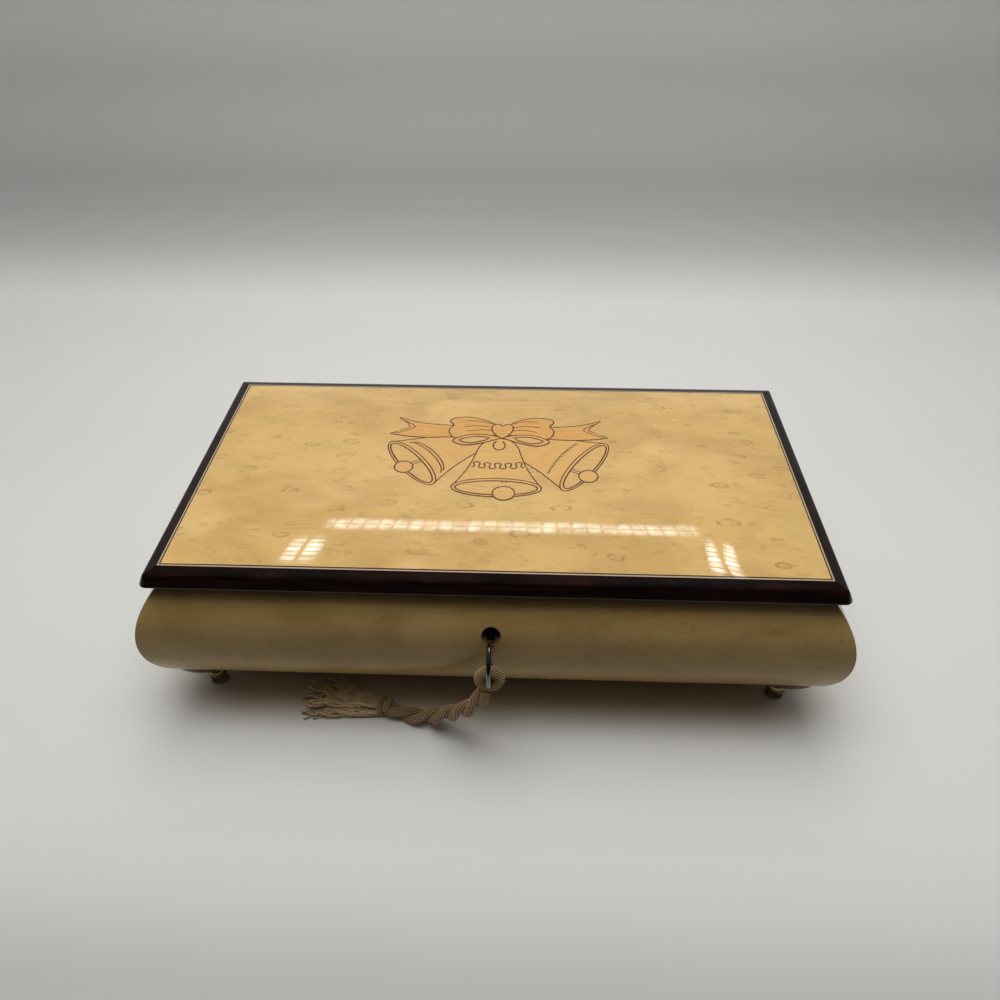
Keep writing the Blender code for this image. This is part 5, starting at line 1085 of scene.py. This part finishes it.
def make_key():
    """The key: a wire ring bow brazed to a turned collar, a hollow shank and a notched bit."""
    low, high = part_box("key")
    ring_y = low.y + KEY_WIRE_RADIUS + KEY_RING_RADIUS
    neck = ring_y + KEY_RING_RADIUS
    end = high.y
    bm = bmesh.new()
    hub = Vector((0, ring_y, KEY_HEIGHT))
    circle = [hub + Vector((0, math.cos(a), math.sin(a))) * KEY_RING_RADIUS for a in around(96)]
    ring_tube(bm, circle, KEY_WIRE_RADIUS, 20, (1, 0, 0))
    collar = ((0, -0.0004), (0.72, -0.0003), (0.95, 0.0006), (0.90, 0.0014), (1.12, 0.0018))
    collar += ((1.22, 0.0022), (1.22, 0.0029), (1.12, 0.0033), (1.0, 0.0037))
    bore = 0.0011
    profile = [(KEY_SHANK_RADIUS * share, neck + along) for share, along in collar]
    profile += [(KEY_SHANK_RADIUS, end - 0.0003), (KEY_SHANK_RADIUS * 0.88, end), (bore * 1.1, end)]
    profile += [(bore, end - 0.0003), (bore, end - 0.0050), (0, end - 0.0052)]
    turned(bm, profile, 40, (0, 0, KEY_HEIGHT), "Y")
    bit = [(-0.0038, -0.0018), (-0.0003, -0.0018), (-0.0003, 0.0018), (-0.0038, 0.0018)]
    bit += [(-0.0038, 0.0007), (-0.0026, 0.0007), (-0.0026, 0.0001), (-0.0038, 0.0001)]
    middle = end - 0.0029
    levels = (KEY_HEIGHT - 0.0007, KEY_HEIGHT + 0.0007)
    loft(bm, [[bm.verts.new((x, middle + y, level)) for x, y in bit] for level in levels])
    key = piece("ring_key", bm, "key_metal", "key", smooth=35, replaces=["key"])
    bevel = key.modifiers.new("soft_edges", "BEVEL")
    bevel.width = 0.00008
    bevel.segments = 2
    bevel.limit_method = "ANGLE"


def ring_tube(bm, circle, radius, sides, axis):
    """A closed ring of round section through points of a circle whose axis is given."""
    axis = Vector(axis)
    centre = sum(circle, Vector()) / len(circle)
    rings = []
    for point in circle:
        out = (point - centre).normalized()
        spots = [point + (out * math.cos(a) + axis * math.sin(a)) * radius for a in around(sides)]
        rings.append([bm.verts.new(spot) for spot in spots])
    loft(bm, rings + rings[:1], False)


def yarn_radius(radius, ridges, turns):
    """A strand's radius: ridges of spun yarn that wind round it."""

    def at(share, angle):
        wave = abs(math.cos((ridges * angle - 2 * math.pi * turns * share) / 2))
        return radius * (0.76 + 0.25 * wave)

    return at


def lay_plies(bm, points, phase):
    """The rope's two plies, twisted round a line of points."""
    length = sum((b - a).length for a, b in zip(points, points[1:]))
    frames = frames_along(points)
    for ply in (0, 1):
        strand = []
        run = 0.0
        for k, (point, side, up) in enumerate(frames):
            if k:
                run += (point - points[k - 1]).length
            a = phase + ply * math.pi - 2 * math.pi * run / ROPE_PITCH
            strand.append(point + (side * math.cos(a) + up * math.sin(a)) * PLY_OFFSET)
        tube(bm, strand, yarn_radius(PLY_RADIUS, YARN_RIDGES, -length / ROPE_PITCH * 12.0), 64)


def add_fibres(bm, points, reach, count, seed):
    """Loose cotton hairs that stand off a rope."""
    rng = random.Random(seed)
    frames = frames_along(points)
    for _ in range(count):
        point, side, up = frames[rng.randrange(1, len(frames) - 1)]
        a = rng.uniform(0, 2 * math.pi)
        out = side * math.cos(a) + up * math.sin(a)
        ahead = out.cross(side if abs(out.dot(side)) < 0.7 else up).normalized()
        base = point + out * reach
        length = rng.uniform(0.0008, 0.0024)
        bend = Vector((rng.uniform(-1, 1), rng.uniform(-1, 1), rng.uniform(-1, 1))) * 0.0009
        hair = []
        for t in (0.0, 0.35, 0.7, 1.0):
            spot = base + out * (length * t * 0.55) + ahead * (length * t * 0.6) + bend * (t * t)
            spot.z = max(spot.z, 0.0001)
            hair.append(spot)
        tube(bm, hair, lambda share, angle: 0.00004 * (1 - 0.6 * share), 3)


def make_tassel():
    """The cotton tassel: an eye through the bow, a two-ply rope, a bound neck and a frayed fringe."""
    low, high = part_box("tassel_loop")
    centre = (low + high) / 2
    outer = (high.x - low.x) / 2
    strand = (high.y - low.y) / 2
    middle = outer - strand
    circle = []
    for k in range(361):
        a = math.pi * 1.35 - 2 * math.pi * k / 360
        circle.append(centre + Vector((math.cos(a), 0.10 * math.sin(a), math.sin(a))) * middle)
    bm = bmesh.new()
    tube(bm, circle, yarn_radius(strand * 0.98, YARN_RIDGES, -27.0), 88)
    add_fibres(bm, circle, strand * 0.9, 70, 3)
    loop = piece("tassel_eye", bm, "cotton", "key", smooth=80, replaces=["tassel_loop"])

    shift = Vector((0, CENTRE_Y, 0))
    route = [Vector(p) + shift for p in ROPE_ROUTE]
    path = smooth_route(route, 70)
    bm = bmesh.new()
    lay_plies(bm, path, 0.6)
    add_fibres(bm, path, ROPE_DIAMETER * 0.44, 260, 5)
    rope = piece("tassel_cord", bm, "cotton", None, smooth=80, replaces=["tassel_rope"])
    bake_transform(rope)

    ahead = (route[-1] - route[-2]).normalized()
    heading = Vector((math.cos(FRINGE_HEADING), math.sin(FRINGE_HEADING), 0))
    neck = route[-1]
    bm = bmesh.new()
    steps = 160
    winding = []
    across = Vector((-ahead.y, ahead.x, 0)).normalized()
    for k in range(steps + 1):
        a = 0.4 + 3.2 * math.pi * k / steps
        along = -0.0010 + 0.0058 * k / steps
        spot = neck + ahead * along + across * (math.cos(a) * 0.0036)
        spot.z = 0.0044 + math.sin(a) * 0.0026
        winding.append(spot)
    tube(bm, winding, yarn_radius(0.00165, 9, -26.0), 54)
    bound = piece("tassel_binding", bm, "cotton", "key_slider", smooth=80)

    fringe = make_fringe(neck + ahead * 0.0010, ahead, heading)


def make_fringe(start, ahead, heading):
    """Frayed yarns that fan out over the table, kinked by the twist they came from."""
    rng = random.Random(11)
    bm = bmesh.new()
    for number in range(FRINGE_YARNS):
        lane = rng.uniform(-1, 1)
        height = rng.uniform(0.0, 1.0)
        length = FRINGE_LENGTH * rng.uniform(0.62, 1.0) * (1 - 0.10 * abs(lane))
        swing = rng.uniform(0, 2 * math.pi)
        curls = rng.uniform(1.6, 3.6)
        depth = rng.uniform(0.0004, 0.0015)
        radius = rng.uniform(0.00042, 0.00062)
        stray = rng.uniform(-0.0046, 0.0046)
        points = []
        for k in range(23):
            t = k / 22
            facing = ahead.lerp(heading, min(t * 6, 1.0)).normalized()
            across = Vector((-facing.y, facing.x, 0))
            half = 0.0034 + (FRINGE_END_WIDTH / 2 - 0.0040) * t**0.9
            phase = swing + curls * 2 * math.pi * t
            off = lane * half + stray * t**2 + depth * t**0.5 * math.cos(phase)
            spot = start + facing * (length * t) + across * off
            pile = 0.0068 - 0.0016 * t
            rise = 0.0007 + pile * height * (1 - 0.60 * lane * lane) + depth * t * math.sin(phase)
            spot.z = min(max(rise, radius + 0.0001), 0.0078)
            points.append(spot)

        def radius_at(share, angle, radius=radius, turns=length * 260):
            wave = abs(math.cos((2 * angle - 2 * math.pi * turns * share) / 2))
            return radius * (0.90 + 0.14 * wave) * (1.0 if share < 0.94 else 0.75)

        dense = smooth_route(points, 3)
        # Painted shade: yarns that lie lower in the pile are darker.
        tube(bm, dense, radius_at, 7, tone=0.91 + 0.14 * height)
        if number % 3 == 0:
            add_fibres(bm, dense, radius, 10, number)
    stands_for = ["tassel_fringe"]
    return piece("tassel_frayed_end", bm, "frayed_cotton", "key_slider", 80, stands_for)


# Velvet interior


def make_interior():
    """Velvet linings, dividers and plinth with soft edges, stuffed ring rolls and the padded lid lining."""
    softness = {"divider_cross": 0.0012, "divider_bay": 0.0012, "divider_ring": 0.0012}
    softness.update({"ring_plinth": 0.0008, "floor_lining": 0.0004, "tray_lining": 0.0004})
    for number, (node, radius) in enumerate(softness.items()):
        low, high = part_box(node)
        bm = rounded_block(low, high, radius, 0.004, 0.0, 0.00006, number * 7.0)
        piece(f"velvet_{node}", bm, "velvet", "case", smooth=80, replaces=[node])
    make_wall_velvet()
    for number in range(1, 6):
        make_ring_roll(number)
    make_lid_pad()


def make_wall_velvet():
    """The velvet on the four inner walls: card wrapped in cloth, with a round upper edge."""
    low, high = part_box("wall_lining")
    thick = 0.0012
    half = thick / 2
    bm = bmesh.new()
    turns = [math.pi * k / 7 for k in range(1, 7)]
    profile = [(0.0, low.z), (0.0, high.z - half)]
    profile += [(half * (1 - math.cos(a)), high.z - half + half * math.sin(a)) for a in turns]
    profile += [(thick, high.z - half), (thick, low.z)]
    rings = []
    for inset, height in profile:
        left, right, front, back = low.x + inset, high.x - inset, low.y + inset, high.y - inset
        corners = ((left, front), (right, front), (right, back), (left, back))
        rings.append([bm.verts.new((x, y, height)) for x, y in corners])
    loft(bm, rings + rings[:1], False)
    piece("velvet_walls", bm, "velvet", "case", smooth=50, replaces=["wall_lining"])


def make_ring_roll(number):
    """One stuffed roll: a bolster that bulges a little between its pinched ends, with a seam along it."""
    node = f"ring_roll_{number}"
    low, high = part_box(node)
    centre = (low + high) / 2
    radius = (high.x - low.x) / 2
    half = (high.y - low.y) / 2
    rows, sides = 64, 40
    bm = bmesh.new()
    rings = []
    for i in range(rows + 1):
        along = -math.cos(math.pi * i / rows)
        end = (1 - abs(along) ** 16) ** 0.5
        ring = []
        for a in around(sides):
            spot = Vector((math.cos(a), along * half * 140, math.sin(a)))
            wander = noise.noise(spot + Vector((number * 5.0, 0, 0)))
            seam = 0.05 * math.exp(-(((a - 4.71) / 0.10) ** 2))
            out = radius * (0.972 + 0.024 * wander - seam) * (0.30 + 0.70 * end)
            ring.append(bm.verts.new(centre + Vector((math.cos(a) * out, along * half, math.sin(a) * out))))
        rings.append(ring)
    loft(bm, rings)
    roll = piece(f"velvet_roll_{number}", bm, "velvet", "case", smooth=80, replaces=[node])


def make_lid_pad():
    """The padded velvet panel in the lid: drawn in at its sewn edge, full in the middle."""
    low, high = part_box("lid_lining")
    centre = (low + high) / 2
    half_x, half_y = (high.x - low.x) / 2, (high.y - low.y) / 2
    depth = high.z - low.z
    cells_x, cells_y = 96, 48
    upper, lower = [], []
    bm = bmesh.new()
    for u in eased(cells_x):
        row_up, row_low = [], []
        for v in eased(cells_y):
            edge = min(half_x * (1 - abs(u)), half_y * (1 - abs(v)))
            fill = math.sin(min(edge / 0.009, 1.0) * math.pi / 2)
            pucker = 0.00010 * math.sin((u * half_x + v * half_y) * 900) * math.exp(-edge / 0.0035)
            wander = noise.noise(Vector((u * 9, v * 5, 3.0))) * 0.00012 * fill
            sag = depth * (0.38 + 0.60 * fill) + pucker + wander
            x, y = centre.x + half_x * u, centre.y + half_y * v
            row_up.append(bm.verts.new((x, y, high.z)))
            row_low.append(bm.verts.new((x, y, max(high.z - sag, low.z))))
        upper.append(row_up)
        lower.append(row_low)
    close_sheet(bm, upper, lower)
    pad = piece("velvet_lid_pad", bm, "velvet", "lid", smooth=60, replaces=["lid_lining"])
    inset = 0.0011
    out_x, out_y, level = half_x - inset, half_y - inset, high.z - inset
    turns = ((-1, -1), (1, -1), (1, 1), (-1, 1))
    cord = [Vector((centre.x + sx * out_x, centre.y + sy * out_y, level)) for sx, sy in turns]
    bm = bmesh.new()
    for k in range(4):
        first, second = cord[k], cord[(k + 1) % 4]
        count = int((second - first).length / 0.0011)
        points = [first.lerp(second, i / count) for i in range(count + 1)]
        tube(bm, points, yarn_radius(0.0008, 2, count / 3), 8)
    piece("velvet_lid_piping", bm, "velvet", "lid", smooth=80)


# Fastenings


def screw_head(bm, place, direction, radius, domed, slot_angle):
    """A slotted screw head that stands on place and faces along direction."""
    rise = radius * (0.55 if domed else 0.12)
    rim = radius * 0.12
    half_turn = 14
    slot_half = radius * 0.14
    turn = Vector((0, 0, 1)).rotation_difference(Vector(direction)).to_matrix()
    spin = Matrix.Rotation(slot_angle, 3, "Z")
    levels = ((1.0, 0.0), (1.0, 0.25), (0.93, 0.55), (0.75, 0.82), (0.5, 0.95), (0.25, 1.0))
    heights = [(1.0, 0)] + [(share, rim + rise * level) for share, level in levels]
    for side in (-1, 1):
        rings = []
        for share, height in heights:
            ring = []
            for k in range(half_turn + 1):
                a = math.pi * k / half_turn
                back = max(radius * share * math.sin(a), slot_half) * side
                spot = Vector((radius * share * math.cos(a), back, height))
                ring.append(bm.verts.new(turn @ (spin @ spot) + Vector(place)))
            rings.append(ring)
        loft(bm, rings)
    wide = radius * 0.98
    bed = [Vector((wide * math.cos(a), wide * math.sin(a), rim)) for a in around(2 * half_turn)]
    bm.faces.new([bm.verts.new(turn @ spot + Vector(place)) for spot in bed])


def make_screws(name, finish, body, places, facing, radius):
    """A set of screw heads, each turned to its own angle. Steel ones are domed."""
    rng = random.Random(len(name))
    bm = bmesh.new()
    for place in places:
        screw_head(bm, place, facing, radius, finish == "steel", rng.uniform(0, math.pi))
    piece(name, bm, finish, body, smooth=40)


def shared(low, high, shares):
    """Places at shares of the way from low to high."""
    return [low + (high - low) * share for share in shares]


def make_fastenings():
    """Screws in the hinges, the lock, the link plate, the base and the movement."""
    up, down = (0, 0, 1), (0, 0, -1)
    for label in ("left", "right"):
        for body, level, facing in (("case", RIM, up), ("lid", LID_UNDER, down)):
            low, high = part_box(f"hinge_leaf_{body}_{label}")
            spots = [(x, low.y + 0.0045, level) for x in shared(low.x, high.x, (0.14, 0.5, 0.86))]
            make_screws(f"hinge_screws_{body}_{label}", "brass", body, spots, facing, 0.0015)
    low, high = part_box("lock_case")
    spots = [(x, high.y, high.z - 0.006) for x in (low.x + 0.004, high.x - 0.004)]
    make_screws("lock_screws", "brass", "case", spots, (0, 1, 0), 0.0012)
    low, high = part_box("link_plate")
    spots = [(x, (low.y + high.y) / 2, LID_UNDER) for x in (low.x + 0.0028, high.x - 0.0028)]
    make_screws("link_screws", "brass", "lid", spots, down, 0.0014)
    low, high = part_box("base_board")
    xs, ys = shared(low.x, high.x, (0.1, 0.37, 0.63, 0.9)), (low.y + 0.008, high.y - 0.008)
    make_screws("base_screws", "steel", "case", [(x, y, low.z) for x in xs for y in ys], down, 0.0026)
    low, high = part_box("comb")
    spots = [(x, low.y + 0.0018, high.z) for x in shared(low.x, high.x, (0.15, 0.5, 0.85))]
    make_screws("comb_screws", "steel", "case", spots, up, 0.0013)
    low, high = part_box("barrel_bridge")
    x, front = low.x + 0.0035, low.y + 0.0018
    top = bridge_top(x, front)
    make_screws("bridge_screws", "steel", "case", [(x, front, top), (x, high.y - 0.0018, top)], up, 0.0013)


def bridge_top(x, y):
    """The upper face of the barrel bridge over a post: the highest point near the post's place."""
    reach = 0.006
    points = [v.co for v in NODES["barrel_bridge"].data.vertices]
    return max(p.z for p in points if abs(p.x - x) < reach and abs(p.y - y) < reach)


def dress_cad_nodes():
    """Finishes for the CAD nodes that stay."""
    worn = {
        "rail_veneer": "carcass_front carcass_back lid_panel",
        "rail_end_veneer": "carcass_left carcass_right",
        "plywood": "base_board",
        "brass": "lock_case link_plate spring_barrel barrel_bridge cylinder cylinder_gear governor_frame"
        " governor_wheel governor_fan winding_key hinge_leaf_case_left hinge_leaf_case_right"
        " hinge_leaf_lid_left hinge_leaf_lid_right hinge_pin_left hinge_pin_right",
        "steel": "lock_bolt comb cylinder_arbor governor_arbor governor_worm stop_plunger winding_shaft",
        "zinc": "movement_bed",
        "clear": "movement_cover",
    }
    for finish, nodes in worn.items():
        for node in nodes.split():
            dress(node, finish)


# Studio


def make_camera():
    """The camera of the photograph."""
    yaw, pitch = CAMERA_YAW, CAMERA_PITCH
    ahead = Vector((-math.sin(yaw) * math.cos(pitch), math.cos(yaw) * math.cos(pitch), -math.sin(pitch)))
    right = Vector((math.cos(yaw), math.sin(yaw), 0))
    up = right.cross(ahead)
    cos, sin = math.cos(CAMERA_ROLL), math.sin(CAMERA_ROLL)
    rolled_right = right * cos + up * sin
    rolled_up = up * cos - right * sin
    camera = bpy.data.objects.new("camera", bpy.data.cameras.new("camera"))
    bpy.context.scene.collection.objects.link(camera)
    basis = Matrix((rolled_right, rolled_up, -ahead)).transposed()
    camera.matrix_world = Matrix.Translation(CAMERA_PLACE) @ basis.to_4x4()
    camera.data.lens = CAMERA_LENS
    camera.data.sensor_width = 36.0
    camera.data.clip_start = 0.01
    bpy.context.scene.camera = camera


def make_stage():
    """A pale sheet that lies under the box and rises behind it."""
    bend = 0.16
    back = 0.50
    profile = [(-3.0, 0.0), (back - bend, 0.0)]
    for k in range(1, 17):
        a = math.pi / 2 * k / 16
        profile.append((back - bend + bend * math.sin(a), bend * (1 - math.cos(a))))
    profile.append((back, 0.62))
    bm = bmesh.new()
    half = 3.0
    rows = [[bm.verts.new((x, y, z)) for x in (-half, half)] for y, z in profile]
    for lower, upper in zip(rows, rows[1:]):
        bm.faces.new((lower[0], lower[1], upper[1], upper[0]))
    sheet = into_scene("studio_sheet", bm)
    sheet.data.shade_smooth()
    sheet.data.materials.append(paper_floor().material)


def area_light(name, place, target, size, power, color=(1.0, 1.0, 1.0)):
    """A rectangular lamp that looks at a target, or straight down where target is None."""
    light = bpy.data.lights.new(name, "AREA")
    light.shape = "RECTANGLE"
    light.size, light.size_y = size
    light.energy = power
    light.color = color
    lamp = bpy.data.objects.new(name, light)
    bpy.context.scene.collection.objects.link(lamp)
    lamp.location = place
    if target is not None:
        aim = Vector(target) - Vector(place)
        lamp.rotation_euler = aim.to_track_quat("-Z", "Y").to_euler()
    return lamp


def ceiling_strip(name, place, size, power, cells, rims, gaps, turn=0.0):
    """A ceiling panel of small lamps, bright in the cells, dim in the gaps, and fading over its rims."""
    lamp = area_light(name, place, None, size, power, (1.0, 0.97, 0.90))
    lamp.rotation_euler.z = turn
    lamp.data.use_nodes = True
    graph = Graph(lamp.data.node_tree)
    spot = graph.add("ShaderNodeNewGeometry").outputs["Parametric"]
    stretched = graph.scaled(spot, (*cells, 1.0))
    inputs = {"Vector": stretched, "Scale": 1.0, "Mortar Size": 0.22, "Mortar Smooth": 1.0}
    inputs.update({"Brick Width": 1.0, "Row Height": 1.0})
    for socket, level in (("Color1", 1.25), ("Color2", 0.85), ("Mortar", gaps)):
        inputs[socket] = (level, level, level, 1.0)
    bricks = graph.add("ShaderNodeTexBrick", inputs, offset=0.0).outputs["Color"]
    inward = [graph.math("PINGPONG", at, 0.5) for at in graph.split(spot)[:2]]
    fades = [graph.band(share, 0.0, rim) for share, rim in zip(inward, rims)]
    limits = {"From Min": 0.34, "From Max": 0.66, "To Min": 0.45, "To Max": 1.55}
    inputs = {"Value": graph.noise(stretched, 0.8, 2.0), **limits}
    uneven = graph.add("ShaderNodeMapRange", inputs).outputs[0]
    emission = graph.tree.nodes["Emission"]
    graph.link(bricks, emission.inputs["Color"])
    graph.link(graph.times(graph.times(*fades), uneven), emission.inputs["Strength"])


def make_lights():
    """Ceiling strips behind and beside the box, a broad soft source overhead, and a dim room in front."""
    ceiling = 1.2
    y = CENTRE_Y + 0.62
    soft = (0.50, 0.35)
    for name, x, back, *rest in (
        ("strip_back", -0.014, 0.25, (0.84, 0.17), 3.4, (26.0, 2.0), (0.05, 0.42), 0.42),
        ("strip_left", -0.43, -0.02, (0.090, 0.30), 1.0, (2.0, 7.0), (0.30, 0.35), 0.05),
        ("strip_right", 0.400, 0.0, (0.050, 0.38), 0.95, (1.0, 8.0), soft, 0.10, -0.08),
        ("strip_far_right", 0.447, 0.0, (0.054, 0.38), 1.05, (1.0, 9.0), soft, 0.10, -0.20),
    ):
        ceiling_strip(name, (x, y + back, ceiling), *rest)
    overhead = area_light("overhead", (-0.06, 0.16, 1.6), (0, 0.10, 0), (1.3, 1.3), 20.5)
    overhead.visible_glossy = False
    make_room()


def make_room():
    """The world: a room that grows paler upwards, dim in reflections, and plain where the camera sees it."""
    world = bpy.data.worlds.new("studio")
    bpy.context.scene.world = world
    world.use_nodes = True
    graph = Graph(world.node_tree)
    background, output = (graph.tree.nodes[name] for name in ("Background", "World Output"))
    toward = graph.add("ShaderNodeTexCoord").outputs["Generated"]
    lean = graph.add("ShaderNodeVectorMath", {0: toward, 1: (0.0, 0.5, 0.866)}, operation="DOT_PRODUCT")
    room = graph.ramp(lean.outputs["Value"], (0.0, (0.030, 0.028, 0.026)), (0.85, (0.34, 0.335, 0.325)))
    rays = graph.add("ShaderNodeLightPath").outputs
    graph.link(room, background.inputs["Color"])
    dimmed = graph.math("MULTIPLY_ADD", rays["Is Glossy Ray"], -0.72, 1.0)
    graph.link(dimmed, background.inputs["Strength"])
    plain = graph.add("ShaderNodeBackground", {"Color": (0.33, 0.325, 0.31, 1.0)}).outputs[0]
    inputs = {0: rays["Is Camera Ray"], 1: background.outputs[0], 2: plain}
    graph.link(graph.add("ShaderNodeMixShader", inputs).outputs[0], output.inputs[0])


make_camera()
make_tassel()
make_key()
make_lid_veneer()
make_mouldings()
make_case_veneers()
make_feet()
make_marquetry()
make_interior()
make_fastenings()
dress_cad_nodes()
make_stage()
make_lights()
bpy.context.scene.view_settings.view_transform = "Standard"
